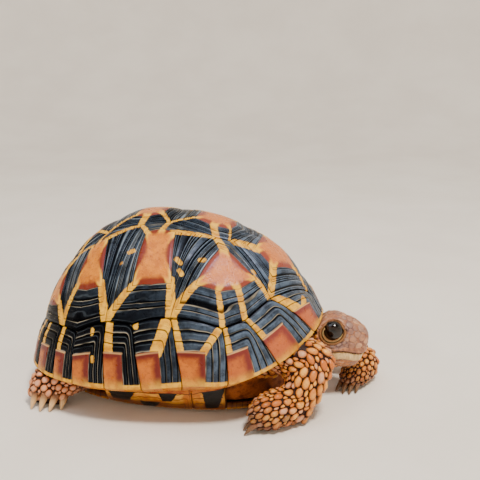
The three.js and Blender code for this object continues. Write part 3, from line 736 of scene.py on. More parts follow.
def fromRidgeTop(tree, times=1, top=0.5):
    # 0 on the top of a growth ridge, 1 in the furrows beside it
    turns = mathOut(tree, "MULTIPLY", attributeOut(tree, "ring"), times)
    share = mathOut(tree, "FRACT", mathOut(tree, "ADD", turns, 0.5 - top))
    return mathOut(tree, "MULTIPLY", mathOut(tree, "ABSOLUTE", mathOut(tree, "SUBTRACT", share, 0.5)), 2)


def ringLine(tree, middle, width, times=1):
    # 1 on a line at one place of every growth ridge; place and width are shares of a ridge
    return stepOut(tree, fromRidgeTop(tree, times, middle), width, width * 3, 1.0, 0.0)


def ridgeTops(tree):
    # 1 on the crowns of the ridges: the narrow ones where they are strong, the broad ones elsewhere
    broad = stepOut(tree, fromRidgeTop(tree), 0.3, 0.82, 1.0, 0.0)
    narrow = stepOut(tree, fromRidgeTop(tree, growth["fineRidges"]), 0.2, 0.75, 1.0, 0.0)
    return between(tree, attributeOut(tree, "fine"), broad, narrow)


def sheenShare(tree, place):
    # painted sheen: the front and top of the shell are painted slate and shine more, as if lit under a blue
    # sky; low at the rear it stays black
    along = addNode(tree, "ShaderNodeSeparateXYZ", {0: place})
    rear, front = shellMiddle + sheen["rear"] * mm, shellMiddle + sheen["front"] * mm
    ahead = stepOut(tree, along.outputs["X"], rear, front)
    high = stepOut(tree, along.outputs["Z"], sheen["low"] * mm, sheen["high"] * mm, 0.0, sheen["topShare"])
    return mathOut(tree, "MAXIMUM", ahead, high)


def blackHorn(tree, place, tops):
    # near-black ridges with a painted slate-blue sheen on their crowns towards the head and on top, black
    # furrows, painted blue-white glints on the narrow ridges, and thin pale painted highlight lines where one
    # year's ridge met the next
    streaks = stepOut(tree, noiseOut(tree, place, 3.2, 5.0, 0.65), 0.36, 0.64, 0.3, 1.25)
    # painted sheen: the crowns of the ridges turn slate-blue towards the head and on top
    sheenSide = sheenShare(tree, place)
    black = blendOut(tree, product(tree, tops, streaks, sheenSide), hornColours["black"], hornColours["slateSheen"])
    patchy = stepOut(tree, noiseOut(tree, place, 7.0, 2.0), 0.4, 0.6, 0.25, 1.0)
    fine = attributeOut(tree, "fine")
    # painted glint: thin blue-white highlight lines on the narrow ridges, in patches
    glint = product(tree, ringLine(tree, 0.36, 0.08, growth["fineRidges"]), fine, patchy, 0.55)
    black = blendOut(tree, glint, black, hornColours["glint"])
    # painted highlight: thin pale lines beside the furrow of each broad ridge, in patches, mostly where the
    # narrow ridges are weak
    coarseOnly = opposite(tree, product(tree, fine, 0.75))
    paleHighlight = product(tree, ringLine(tree, 0.09, 0.04), coarseOnly, patchy, 0.7)
    return blendOut(tree, paleHighlight, black, hornColours["paleHighlightLine"])


def hornBase(tree, place, tops):
    # black horn with pale rays, and the orange first plate with its dark red slopes
    cloud = noiseOut(tree, place, 2.2, 3.0)
    pale = blendOut(tree, stepOut(tree, cloud, 0.35, 0.7), hornColours["ray"], hornColours["rayDeep"])
    pale = blendOut(tree, product(tree, ringLine(tree, 0.0, 0.06), 0.85), pale, hornColours["line"])
    pale = blendOut(tree, product(tree, ringLine(tree, 0.0, 0.06, 3), 0.3), pale, hornColours["line"])
    crowded = product(tree, ringLine(tree, 0.0, 0.12, growth["fineRidges"]), attributeOut(tree, "fine"), 0.6)
    pale = blendOut(tree, crowded, pale, hornColours["line"])
    rayShare = stepOut(tree, ragged(tree, place, "ray", 0.9, 0.4), -0.15, 0.15)
    colour = blendOut(tree, rayShare, blackHorn(tree, place, tops), pale)
    patches = noiseOut(tree, place, 3.0, 5.0, 0.65)
    warm = blendOut(tree, stepOut(tree, patches, 0.35, 0.65), hornColours["first"], hornColours["firstPale"])
    warm = blendOut(tree, product(tree, attributeOut(tree, "pink"), 0.75), warm, hornColours["pink"])
    edge = blendOut(tree, attributeOut(tree, "pink"), hornColours["firstEdge"], hornColours["pinkEdge"])
    depth = ragged(tree, place, "first", 1.6, 0.7)
    glow = stepOut(tree, ragged(tree, place, "glow", 1.2, 0.4), -0.4, 0.5)
    stains = stepOut(tree, noiseOut(tree, place, 1.1, 4.0, 0.6), 0.54, 0.7, 0, 0.4)
    warm = blendOut(tree, stains, warm, hornColours["firstEdge"])
    glowing = blendOut(tree, stepOut(tree, depth, 0.2, 2.6), hornColours["ray"], warm)
    edged = blendOut(tree, stepOut(tree, depth, 1.0, 3.2), edge, warm)
    edged = blendOut(tree, glow, edged, glowing)
    return blendOut(tree, stepOut(tree, ragged(tree, place, "first", 0.8, 0.15), -0.1, 0.1), colour, edged)


def hornRelief(tree, place):
    # fine scratches everywhere, and the pebbled middle of each first plate
    fine = noiseOut(tree, place, 0.35, 4.0, 0.6)
    inFirst = stepOut(tree, attributeOut(tree, "first"), 0.5, 2.5)
    pebbles = product(tree, noiseOut(tree, place, 0.5, 2.0), inFirst)
    return [(fine, 0.02), (pebbles, 0.14)]


def hornGloss(tree, place, tops):
    # furrows and first plates shine less than the polished crowns of the ridges
    plain = stepOut(tree, attributeOut(tree, "first"), -0.2, 0.1, 0.0, 0.3)
    sheenSide = stepOut(tree, sheenShare(tree, place), 0, 1, 0.2, 1.0)
    crowns = product(tree, stepOut(tree, tops, 0.1, 1.0, 0.1, 0.45), sheenSide)
    return mathOut(tree, "MAXIMUM", crowns, plain)


def finishHorn(tree, place, tops, colour, smoothest, tint):
    roughness = stepOut(tree, noiseOut(tree, place, 2.5, 4.0), 0.3, 0.75, smoothest, smoothest + 0.18)
    # painted reflection: the specular tint turns the reflections blue, as if they showed a blue sky
    finishMaterial(tree, colour, roughness, hornRelief(tree, place), IOR=1.5, **{
        "Specular IOR Level": hornGloss(tree, place, tops), "Specular Tint": linear(tint)})


def backHornMaterial():
    # grown keratin, worn smooth: nearly black, glossy on the ridges, with waxy pale rays
    material, tree, place = newMaterial("grownTortoiseHorn")
    tops = ridgeTops(tree)
    finishHorn(tree, place, tops, hornBase(tree, place, tops), 0.24, hornColours["backReflectionBlue"])
    return material


def rimHornMaterial():
    # the same horn on the marginals: a yellow strip along the rim, orange-brown with growth lines beneath
    material, tree, place = newMaterial("grownMarginHorn")
    tops = ridgeTops(tree)
    colour = hornBase(tree, place, tops)
    # painted shade: the first plates of the marginals are darkened and reddened
    shaded = stepOut(tree, attributeOut(tree, "first"), 0.0, 0.6)
    colour = blendOut(tree, shaded, colour, hornColours["shaded"], "MULTIPLY")
    colour = blendOut(tree, product(tree, attributeOut(tree, "crest"), 0.8), colour, hornColours["crest"])
    down = ragged(tree, place, "down", 0.8, 0.008)
    plate = stepOut(tree, attributeOut(tree, "first"), -0.2, 0.3)
    sharp, soft = stepOut(tree, down, 0.905, 0.93), stepOut(tree, down, 0.78, 1.02, 0.0, 0.8)
    strip = between(tree, plate, sharp, soft)
    cloud = noiseOut(tree, place, 2.6, 4.0, 0.6)
    yellow = blendOut(tree, stepOut(tree, cloud, 0.4, 0.65), hornColours["rim"], hornColours["rayDeep"])
    colour = blendOut(tree, strip, colour, yellow)
    beneath = blendOut(tree, stepOut(tree, cloud, 0.35, 0.7), hornColours["under"], hornColours["rayDeep"])
    lines = mathOut(tree, "ABSOLUTE", mathOut(tree, "SINE", product(tree, down, math.pi * 5)))
    beneath = blendOut(tree, stepOut(tree, lines, 0.05, 0.2, 0.8, 0.0), beneath, hornColours["underLine"])
    specks = stepOut(tree, noiseOut(tree, place, 0.8, 3.0), 0.6, 0.68, 0, 0.6)
    beneath = blendOut(tree, specks, beneath, hornColours["firstEdge"])
    colour = blendOut(tree, stepOut(tree, down, 1.0, 1.08), colour, beneath)
    seam = stepOut(tree, attributeOut(tree, "seam"), 0.06, 0.22, 0.85, 0.0)
    colour = blendOut(tree, seam, colour, hornColours["seam"], "MULTIPLY")
    finishHorn(tree, place, tops, colour, 0.26, hornColours["rimReflectionBlue"])
    return material


backHorn, rimHorn = backHornMaterial(), rimHornMaterial()
for piece in [o for o in bpy.data.objects if o.name.endswith("_horn")]:
    onBack = piece.name.startswith(("vertebral", "costal"))
    piece.data.materials.append(backHorn if onBack else rimHorn)
print("horn finished")

# ---- one skin over neck, head, legs and tail ----
skin = {
    "voxel": 0.67, "swell": 0.3, "smooth": 16, "legCoat": 0.45, "headCoat": 0.16,
    "trunkTop": 22.0,  # the trunk is cut flat here, out of sight inside the shell
}
headNodes = ["head", "lower_jaw", "neck"]
legNodes = [
    "foreleg_right", "forefoot_right", "foreleg_left", "forefoot_left",
    "thigh_right", "hind_foot_right", "thigh_left", "hind_foot_left",
]
softNodes = headNodes + legNodes + ["tail", "trunk"]


def nodeMesh(names, swell=0.0):
    # merged copy of some CAD nodes in millimetres about the shell's middle
    joined = bmesh.new()
    for name in names:
        part = bmesh.new()
        part.from_mesh(frame["nodes"][name].data)
        bmesh.ops.remove_doubles(part, verts=part.verts, dist=1e-6)
        part.normal_update()
        for vert in part.verts:
            place = vert.co / mm - Vector((shellMiddle / mm, 0, 0)) + vert.normal * swell
            if name == "trunk":
                place.z = min(place.z, skin["trunkTop"])
            vert.co = place
        copy = bpy.data.meshes.new("part")
        part.to_mesh(copy)
        part.free()
        joined.from_mesh(copy)
        bpy.data.meshes.remove(copy)
    return joined


def treeOf(names):
    joined = nodeMesh(names)
    tree = BVHTree.FromBMesh(joined)
    joined.free()
    return tree


def distances(tree, points):
    return np.array([tree.find_nearest(Vector(p))[3] for p in points])


def remeshed(joined):
    mesh = bpy.data.meshes.new("skinCage")
    joined.to_mesh(mesh)
    joined.free()
    cage = linkedObject("skinCage", mesh)
    remesh = cage.modifiers.new("remesh", "REMESH")
    remesh.mode, remesh.voxel_size = "VOXEL", skin["voxel"]
    relax = cage.modifiers.new("relax", "SMOOTH")
    relax.factor, relax.iterations = 0.5, skin["smooth"]
    bpy.context.view_layer.update()
    result = bpy.data.meshes.new_from_object(cage.evaluated_get(bpy.context.evaluated_depsgraph_get()))
    bpy.data.objects.remove(cage)
    return result


def refine(mesh, chosen):
    # cuts the faces whose middle is chosen into four, and evens the points out
    work = bmesh.new()
    work.from_mesh(mesh)
    inside = chosen(np.array([face.calc_center_median() for face in work.faces]))
    edges = {edge for face, take in zip(work.faces, inside) if take for edge in face.edges}
    bmesh.ops.subdivide_edges(work, edges=list(edges), cuts=1, use_grid_fill=True)
    near = [v for v, take in zip(work.verts, chosen(np.array([v.co for v in work.verts]))) if take]
    for _ in range(2):
        bmesh.ops.smooth_vert(work, verts=near, factor=0.5, use_axis_x=True, use_axis_y=True, use_axis_z=True)
    work.to_mesh(mesh)
    work.free()


# where each claw leaves its foot, and its tip
foreClawsRight = [
    ((34, -24.6, 3.2), (30.6, -24.6, 0.3)), ((32.8, -26.8, 3.2), (28.9, -27.2, 0.3)),
    ((32, -29, 3.2), (28, -30, 0.3)), ((32.4, -31, 3.2), (28.8, -32.8, 0.3)),
]
foreClawsLeft = [
    ((60.8, 4, 2.8), (60, 0.4, 0.3)), ((58.9, 3, 3.0), (57.9, -0.8, 0.3)),
    ((57, 3, 3.0), (55.8, -0.8, 0.3)), ((55.6, 4.2, 2.8), (53.6, 1, 0.3)),
]
hindClawsRight = [
    ((-39, -26.6, 5.2), (-40.2, -29.3, 0.3)), ((-35.6, -27.2, 5.4), (-36.8, -30.4, 0.3)),
    ((-32.4, -26.8, 4.8), (-33.8, -30.0, 0.3)), ((-30.4, -25.2, 3.8), (-30.8, -27.9, 0.3)),
]
hindStep = 3.0  # the left hind foot is this far ahead of the right one
hindClawsLeft = [tuple((x + hindStep, -y, z) for x, y, z in claw) for claw in hindClawsRight]
allClaws = foreClawsRight + foreClawsLeft + hindClawsRight + hindClawsLeft

face = {
    "eye": (52.2, 23.7), "eyeHalfLong": 2.68, "eyeHalfTall": 2.35,
    "eyeball": 3.3, "eyeFlat": 0.79, "eyeDepth": 4.7,  # the ball is a little flatter than it is tall
    "corneaBulge": 0.03, "lidRise": 0.5, "socket": 4.5,
    "mouth": (50.6, 17.5), "mouthSlope": -0.14, "mouthArch": 0.75, "mouthDepth": 0.6, "mouthWidth": 0.2,
    "nostril": (61.9, 1.75, 23.2), "nostrilSize": 0.38, "nostrilDepth": 0.7,
    "ear": (46.4, 23.3), "earSize": 1.0, "earDepth": 0.5,
    "darkPatch": (46.6, 19.6), "darkPatchSize": 1.7,
    "greyPatch": (57.3, 25.0), "lowerGreyPatch": (55.0, 19.6),
}


def eyeRing(points):
    # 1 at the edge of the eye's opening, growing outwards; only on the sides of the head
    ring = np.hypot((points[:, 0] - face["eye"][0]) / face["eyeHalfLong"],
                    (points[:, 2] - face["eye"][1]) / face["eyeHalfTall"])
    # the lids are narrow, most of all over the eye
    narrow = mix(1.15, 1.8, rise(0, 2.4, points[:, 2] - face["eye"][1]))
    ring = np.where(ring > 1, 1 + (ring - 1) * narrow, ring)
    return np.where(np.abs(points[:, 1]) > 2.6, ring, 9.0)


def aboveMouth(points):
    # height above the line of the mouth, which slopes and arches
    ahead = points[:, 0] - face["mouth"][0]
    slope, arch = face["mouthSlope"] * ahead, face["mouthArch"] * bump(ahead, 5.2, 3.4)
    return points[:, 2] - face["mouth"][1] - slope - arch


def fromEar(points):
    return np.hypot(points[:, 0] - face["ear"][0], points[:, 2] - face["ear"][1])


def fromNostril(points):
    x, y, z = face["nostril"]
    return np.sqrt((points[:, 0] - x) ** 2 + (np.abs(points[:, 1]) - y) ** 2 + (points[:, 2] - z) ** 2)


def sculptHead(points, normals, headShare):
    side = np.sign(points[:, 1])
    move = np.zeros(len(points))
    # lids: an inner roll, an outer fold and a brow
    ring = eyeRing(points)
    above = rise(-0.4, 1.4, points[:, 2] - face["eye"][1])
    move += face["lidRise"] * bump(ring, 1.13, 0.12) - 0.3 * bump(ring, 1.31, 0.06)
    move += mix(0.26, 0.42, above) * bump(ring, 1.5, 0.14) - 0.24 * bump(ring, 1.76, 0.07)
    move += mix(0.12, 0.3, above) * bump(ring, 1.98, 0.14) - 0.12 * bump(ring, 2.2, 0.08)
    # the mouth's groove, with the upper beak a little over the lower one
    gape = aboveMouth(points)
    along = rise(51.0, 53.2, points[:, 0]) * headShare
    move -= face["mouthDepth"] * bump(gape, 0, face["mouthWidth"]) * along
    move += 0.3 * bump(gape, 0.75, 0.5) * along - 0.12 * bump(gape, -1.0, 0.8) * along
    move -= 0.22 * bump(gape, 2.3, 0.35) * along * rise(54, 57, points[:, 0])
    # a fold behind the mouth's corner, and the ear drum
    corner = np.hypot(points[:, 0] - 50.4, (points[:, 2] - 17.0) * 0.7)
    move -= 0.3 * bump(corner, 1.6, 0.4) * rise(3, 5, np.abs(points[:, 1])) * (points[:, 0] < 51.5)
    ear = fromEar(points) / face["earSize"]
    sides = rise(4, 6, np.abs(points[:, 1]))
    move -= face["earDepth"] * (1 - rise(0.7, 1.15, ear)) * sides
    move += 0.12 * bump(ear, 1.3, 0.18) * sides
    nostril = fromNostril(points)
    move -= face["nostrilDepth"] * bump(nostril, 0, face["nostrilSize"])
    move += 0.12 * bump(nostril, 0.9, 0.3)
    # a shallow dip between the brows and snout, and folds across the neck
    move -= 0.25 * bump(points[:, 0], 56.2, 1.2) * rise(25, 27.5, points[:, 2]) * headShare
    folds = np.sin(points[:, 0] * 2.3 + 0.8 * np.sin(points[:, 1] * 0.7) + 0.5 * np.sin(points[:, 2] * 0.9))
    move += 0.22 * folds * rise(46.5, 43.5, points[:, 0]) * rise(33, 36, points[:, 0]) * headShare
    moved = points + normals * (move * headShare)[:, None]
    # inside the opening the skin lies behind the eyeball
    inside = 1 - rise(0.93, 1.1, ring)
    hollow = np.where(headShare > 0.5, inside, 0)
    moved[:, 1] = mix(moved[:, 1], side * face["socket"], hollow)
    return moved


def darkLines(points, ring):
    # painted shade in the creases round the eye and in the nostrils; the mouth's line and the ear drums are
    # darkened too
    mouth = bump(aboveMouth(points), 0, 0.17) * rise(51, 52.5, points[:, 0])
    dark = np.maximum(mouth, 0.8 * bump(ring, 1.3, 0.07))
    dark = np.maximum(dark, 0.5 * bump(ring, 1.76, 0.06))
    dark = np.maximum(dark, 0.9 * bump(fromNostril(points), 0, 0.32))
    return np.maximum(dark, 0.9 * bump(fromEar(points), 0, 0.9) * (np.abs(points[:, 1]) > 4))


def greyShare(points):
    # the blue-grey patches: a round one ahead of the eye and a long one below it
    sides = rise(1.5, 3, np.abs(points[:, 1]))
    ahead = np.hypot(points[:, 0] - face["greyPatch"][0], (points[:, 2] - face["greyPatch"][1]) * 1.3)
    longX, longZ = face["lowerGreyPatch"]
    below = np.hypot((points[:, 0] - longX) * 0.5, points[:, 2] - longZ)
    return 0.8 * bump(ahead, 0, 1.3) * sides + 0.65 * bump(below, 0, 1.5) * sides


def undercut(points):
    # the toes overhang: below them the foot draws back, so that the claws stand free
    for side, shift in ((-1, 0), (1, hindStep)):
        x, out, z = points[:, 0] - shift, points[:, 1] * side, points[:, 2]
        limit = mix(25.4, 27.0, rise(0.5, 4.6, z)) + 3.5 * rise(4.6, 7.0, z)
        chosen = (x > -44) & (x < -27) & (out > 20) & (z < 7.0)
        points[chosen, 1] = side * np.minimum(out, limit)[chosen]
    return points


def tuckClaws(points):
    # the skin ends inside the root of each claw
    for root, tip in allClaws:
        root, along = np.array(root, float), np.array(tip, float) - np.array(root, float)
        share = ((points - root) @ along) / (along @ along)
        away = np.linalg.norm(points - root - share[:, None] * along, axis=1)
        thin = (share > 0.35) & (share < 1.6) & (away < 1.7)
        end = root + 0.35 * along
        points[thin] = end + (points[thin] - root - share[thin, None] * along) * 0.3
    return points


def makeSkin():
    mesh = remeshed(nodeMesh(softNodes, skin["swell"]))
    headTree, legTree = treeOf(headNodes), treeOf(legNodes + ["tail"])

    def nearHead(places):
        inside = (places[:, 0] > 44.5) & (np.abs(places[:, 1]) < 9.5) & (places[:, 2] > 10)
        result = np.zeros(len(places), bool)
        spots = np.flatnonzero(inside)
        result[spots] = distances(headTree, places[spots]) < distances(legTree, places[spots]) - 0.3
        return result

    def nearEyeOrMouth(places):
        mouth = (np.abs(aboveMouth(places)) < 1.0) & (places[:, 0] > 51)
        return nearHead(places) & ((eyeRing(places) < 2.3) | mouth)

    def nearLids(places):
        return nearHead(places) & (eyeRing(places) > 0.85) & (eyeRing(places) < 1.4)

    # each cut is finer than the one before and takes in less of the head
    for chosen in (nearHead, nearEyeOrMouth, nearLids):
        refine(mesh, chosen)
    points, normals = pointsOf(mesh), normalsOf(mesh)
    toHead, toLeg = distances(headTree, points), distances(legTree, points)
    headShare = rise(-0.4, 1.2, toLeg - toHead) * rise(2.5, 1.0, toHead)
    coat = mix(skin["legCoat"], skin["headCoat"], headShare) + skin["swell"] * 0.8
    points = points - normals * coat[:, None]
    points = undercut(tuckClaws(sculptHead(points, normals, headShare)))
    ring = eyeRing(points)
    onFace = headShare > 0.5
    # the bare skin of the leg openings, clear of legs and head
    bare = rise(2.4, 3.4, toLeg) * (1 - headShare)
    bare = bare * rise(15, 18, np.abs(points[:, 0])) * (points[:, 2] < 21)
    values = {
        "head": headShare,
        "lid": np.where(onFace, rise(1.95, 1.5, ring), 0),
        "lidEdge": np.where(onFace, bump(ring, 1.13, 0.05), 0),
        "groove": np.where(onFace, darkLines(points, ring), 0),
        "grey": np.where(onFace, greyShare(points), 0),
        "throat": np.where(onFace, rise(-3.0, -4.2, aboveMouth(points)), 0),
        "leg": rise(3.0, 1.2, toLeg),
        "smooth": bare * (points[:, 0] > 0), "grained": bare * (points[:, 0] < 0),
    }
    faces = facesOf(mesh)
    bpy.data.meshes.remove(mesh)
    return meshPiece("skin", toFrame(points), faces, values), points


skinPiece, skinPoints = makeSkin()
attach(skinPiece, "root")
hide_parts(*softNodes)
print("skin made, triangles:", sum(len(p.vertices) - 2 for p in skinPiece.data.polygons))


# ---- eyes ----
def makeEye(side):
    # a ball seen through the lids, with a slightly steeper cornea; y is its depth in the head
    rings, columns = 40, 48
    polar = np.linspace(0, math.pi, rings + 2)[1:-1, None]
    turn = np.linspace(0, 2 * math.pi, columns, endpoint=False)[None, :]
    radius = face["eyeball"] * (1 + face["corneaBulge"] * (1 - rise(0.3, 0.6, polar)))
    across, up = radius * np.sin(polar) * np.cos(turn), radius * np.sin(polar) * np.sin(turn)
    out = np.broadcast_to(radius * np.cos(polar) * face["eyeFlat"], across.shape)
    centre = np.array([face["eye"][0], side * face["eyeDepth"], face["eye"][1]])
    local = np.stack([across, side * out, up], -1).reshape(-1, 3)
    deep = side * face["eyeball"] * face["eyeFlat"]
    poles = np.array([[0, deep * (1 + face["corneaBulge"]), 0], [0, -deep, 0]])
    fromMiddle = np.concatenate([np.hypot(across, up).reshape(-1), [0, 0]])
    name = "eye_right" if side < 0 else "eye_left"
    points = toFrame(np.concatenate([local, poles]) + centre)
    eye = meshPiece(name + "_ball", points, ringFaces(rings, columns), {"fromMiddle": fromMiddle})
    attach(eye, "root")
    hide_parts(name)
    return eye


eyes = [makeEye(-1), makeEye(1)]
print("eyes made")

skinColours = {
    "body": "#B8661E", "fold": "#4A1C0C", "between": "#2A1008", "face": "#9A6248", "facePale": "#BE8A64",
    "grey": "#5E4E56", "lid": "#8E6238", "lidEdge": "#A89C68", "groove": "#2A120A", "throat": "#E08A3A",
    "horn": "#A45618", "hornDeep": "#5A240A",
}


def skinMaterial():
    # dry reptile skin: fine grains with dark creases, smoother and pinker on the face, horny in the openings;
    # on the legs near-black between the scales, its own dark colour deepened as painted shade
    material, tree, place = newMaterial("dryGrainedSkin")
    cells = {"Vector": place, "Scale": 1 / (0.55 * mm)}
    grains = addNode(tree, "ShaderNodeTexVoronoi", cells, feature="DISTANCE_TO_EDGE")
    grain = stepOut(tree, grains.outputs["Distance"], 0.0, 0.22)
    cloud = noiseOut(tree, place, 3.0, 4.0, 0.6)
    body = blendOut(tree, grain, skinColours["fold"], skinColours["body"])
    # partly painted shade: on the legs the skin is near-black brown, its own colour darkened further as the
    # shade between the scales
    body = blendOut(tree, attributeOut(tree, "leg"), body, skinColours["between"])
    smooth = blendOut(tree, stepOut(tree, cloud, 0.35, 0.65), skinColours["horn"], skinColours["hornDeep"])
    body = blendOut(tree, attributeOut(tree, "smooth"), body, smooth)
    facial = blendOut(tree, stepOut(tree, cloud, 0.35, 0.65), skinColours["face"], skinColours["facePale"])
    facial = blendOut(tree, attributeOut(tree, "throat"), facial, skinColours["throat"])
    clouded = stepOut(tree, noiseOut(tree, place, 1.8, 4.0), 0.46, 0.64, 0, 0.6)
    grey = mathOut(tree, "ADD", attributeOut(tree, "grey"), clouded)
    facial = blendOut(tree, mathOut(tree, "MINIMUM", grey, 0.85), facial, skinColours["grey"])
    speckles = stepOut(tree, noiseOut(tree, place, 0.4, 2.0), 0.66, 0.72, 0, 0.6)
    facial = blendOut(tree, speckles, facial, skinColours["fold"])
    colour = blendOut(tree, attributeOut(tree, "head"), body, facial)
    for part in ("lid", "lidEdge", "groove"):
        colour = blendOut(tree, attributeOut(tree, part), colour, skinColours[part])
    fine = noiseOut(tree, place, 0.3, 4.0)
    roughness = stepOut(tree, cloud, 0.3, 0.7, 0.4, 0.6)
    finishMaterial(tree, colour, roughness, [(grain, 0.05), (fine, 0.03)], IOR=1.45, **{
        "Specular IOR Level": 0.3, "Subsurface Weight": 0.05, "Subsurface Radius": (0.002, 0.0008, 0.0004)})
    return material


eyeColours = {"iris": "#21140D", "irisDark": "#120A07", "pupil": "#010102", "edge": "#0B0807"}


def eyeMaterial():
    # wet cornea over a very dark brown iris: one sharp highlight, a faint ring round the pupil
    material, tree, place = newMaterial("wetDarkEye")
    away = attributeOut(tree, "fromMiddle")
    flecks = stepOut(tree, noiseOut(tree, place, 0.25, 3.0), 0.35, 0.65)
    iris = blendOut(tree, flecks, eyeColours["irisDark"], eyeColours["iris"])
    colour = blendOut(tree, stepOut(tree, away, 1.35, 1.55), eyeColours["pupil"], iris)
    colour = blendOut(tree, stepOut(tree, away, 2.35, 2.6), colour, eyeColours["edge"])
    roughness = stepOut(tree, noiseOut(tree, place, 0.8, 2.0), 0.3, 0.7, 0.03, 0.06)
    finishMaterial(tree, colour, roughness, [], IOR=1.36, **{"Coat Weight": 0.5, "Coat Roughness": 0.02})
    return material


skinPiece.data.materials.append(skinMaterial())
eyeSurface = eyeMaterial()
for eye in eyes:
    eye.data.materials.append(eyeSurface)
print("skin and eyes finished")

# ---- claws ----
claws = {
    "foreRadius": 1.0, "hindRadius": 1.4, "tipRadius": 0.2, "sides": 18, "rows": 20, "taper": 2.2,
    "arch": 0.6, "flatBelow": 0.72, "narrow": 0.92,  # flatter below, and narrower than tall
}


def makeClaws(name, clawList, rootRadius):
    points, faces, fromRoot = [], [], []
    sides, rows = claws["sides"], claws["rows"]
    for root, tip in clawList:
        root, tip = np.array(root, float), np.array(tip, float)
        knee = (root + tip) / 2 + np.array([0, 0, claws["arch"]])
        t = np.linspace(0, 1, rows)[:, None]
        path = (1 - t) ** 2 * root + 2 * t * (1 - t) * knee + t**2 * tip
        path[:, 2] = np.maximum(path[:, 2], mix(1.2, claws["tipRadius"] + 0.05, t[:, 0]))
        along = np.gradient(path, axis=0)
        along /= np.linalg.norm(along, axis=1, keepdims=True)
        across = np.cross(along, [0, 0, 1.0])
        across /= np.linalg.norm(across, axis=1, keepdims=True)
        up = np.cross(across, along)
        radius = mix(rootRadius, claws["tipRadius"], t[:, 0] ** claws["taper"])
        turn = np.linspace(0, 2 * math.pi, sides, endpoint=False)
        tall = np.where(np.sin(turn) > 0, 1.0, claws["flatBelow"])
        aside = np.cos(turn)[None, :, None] * across[:, None] * claws["narrow"]
        upwards = (np.sin(turn) * tall)[None, :, None] * up[:, None]
        ring = path[:, None] + radius[:, None, None] * (aside + upwards)
        ends = [path[0] - along[0] * 0.3, path[-1] + along[-1] * 0.12]
        body = np.concatenate([ring.reshape(-1, 3), ends])
        start = sum(len(p) for p in points)
        faces += [tuple(i + start for i in f) for f in ringFaces(rows, sides)]
        points.append(body)
        fromRoot.append(np.concatenate([np.repeat(t[:, 0], sides), [0, 1]]))
    piece = meshPiece(name, toFrame(np.concatenate(points)), faces, {"fromRoot": np.concatenate(fromRoot)})
    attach(piece, "root")
    return piece


clawPieces = [
    makeClaws("claws_fore_right", foreClawsRight, claws["foreRadius"]),
    makeClaws("claws_fore_left", foreClawsLeft, claws["foreRadius"]),
    makeClaws("claws_hind_right", hindClawsRight, claws["hindRadius"]),
    makeClaws("claws_hind_left", hindClawsLeft, claws["hindRadius"]),
]
print("claws made")

# ---- scales: each one fills its own small cell of the skin ----
scaleSet = {
    "seed": 7, "tries": 60000, "sides": 14, "gap": 0.06, "sink": 0.3,
    "nearest": 0.43,  # how close two roots may stand, as a share of both sizes
    "cell": 3.6,  # mm, wider than any two neighbours stand apart
    "foreBig": 2.35, "foreSmall": 1.5, "foot": 2.2, "thigh": 1.25, "tail": 1.0,
    "neck": 1.15, "jowl": 1.35, "crown": 2.0, "cheek": 1.25, "throat": 0.9, "snout": 2.1,
    "between": 0.5,  # small scales fill what is left between the large ones
    "legHeight": 0.4, "headHeight": 0.06, "neckHeight": 0.28,  # share of a scale's size that it stands up
    "foreOverlap": 0.3, "overlap": 0.12,  # how much the free end lifts and reaches over the next scale
}
# scales are longer along the limb than across it, by this much
stretches = {
    "foreleg_right": 1.65, "foreleg_left": 1.65, "hindleg_right": 1.2, "hindleg_left": 1.2,
    "tail": 1.2, "head": 1.05,
}
limbPaths = {
    "foreleg_right": [
        (31, -13, 19.5), (45, -16.3, 18.2), (46.2, -17.2, 16),
        (43, -19.8, 6.5), (37, -25.6, 6), (29, -30.5, 3),
    ],
    "foreleg_left": [
        (31, 13, 18), (50, 17, 11), (61.5, 16, 8),
        (62, 14.6, 5.5), (59.8, 7.4, 4.5), (56, 0, 2),
    ],
    "hindleg_right": [(-20, -14, 10), (-32.5, -22.5, 9), (-36, -24, 5), (-36.3, -25.4, 0)],
    "hindleg_left": [(-17, 14, 10), (-29.5, 22.5, 9), (-33, 24, 5), (-33.3, 25.4, 0)],
    "tail": [(-35, 0, 7.6), (-40.5, -0.6, 7), (-44, -2, 5.6), (-47, -4.3, 4)],
    "head": [(33, 0, 19.2), (45, 0, 19.0), (64, 0, 20.0)],
}
scaleRoot = namedtuple("scaleRoot", "size spot normal limb share along around")


def placeOnLimb(point, name):
    # distance from the limb's middle line, share along it, its direction there, and the angle round it
    path = np.array(limbPaths[name], float)
    lengths = np.linalg.norm(np.diff(path, axis=0), axis=1)
    best = None
    for k in range(len(path) - 1):
        along = (path[k + 1] - path[k]) / lengths[k]
        t = float(np.clip((point - path[k]) @ along, 0, lengths[k]))
        away = point - path[k] - along * t
        far = float(np.linalg.norm(away))
        if best is None or far < best[0]:
            best = (far, (lengths[:k].sum() + t) / lengths.sum(), along, away)
    far, share, along, away = best
    side = np.cross(along, [0.13, 0.21, 0.97])
    side /= np.linalg.norm(side)
    over = np.cross(side, along)
    return far, share, along, math.atan2(away @ over, away @ side)


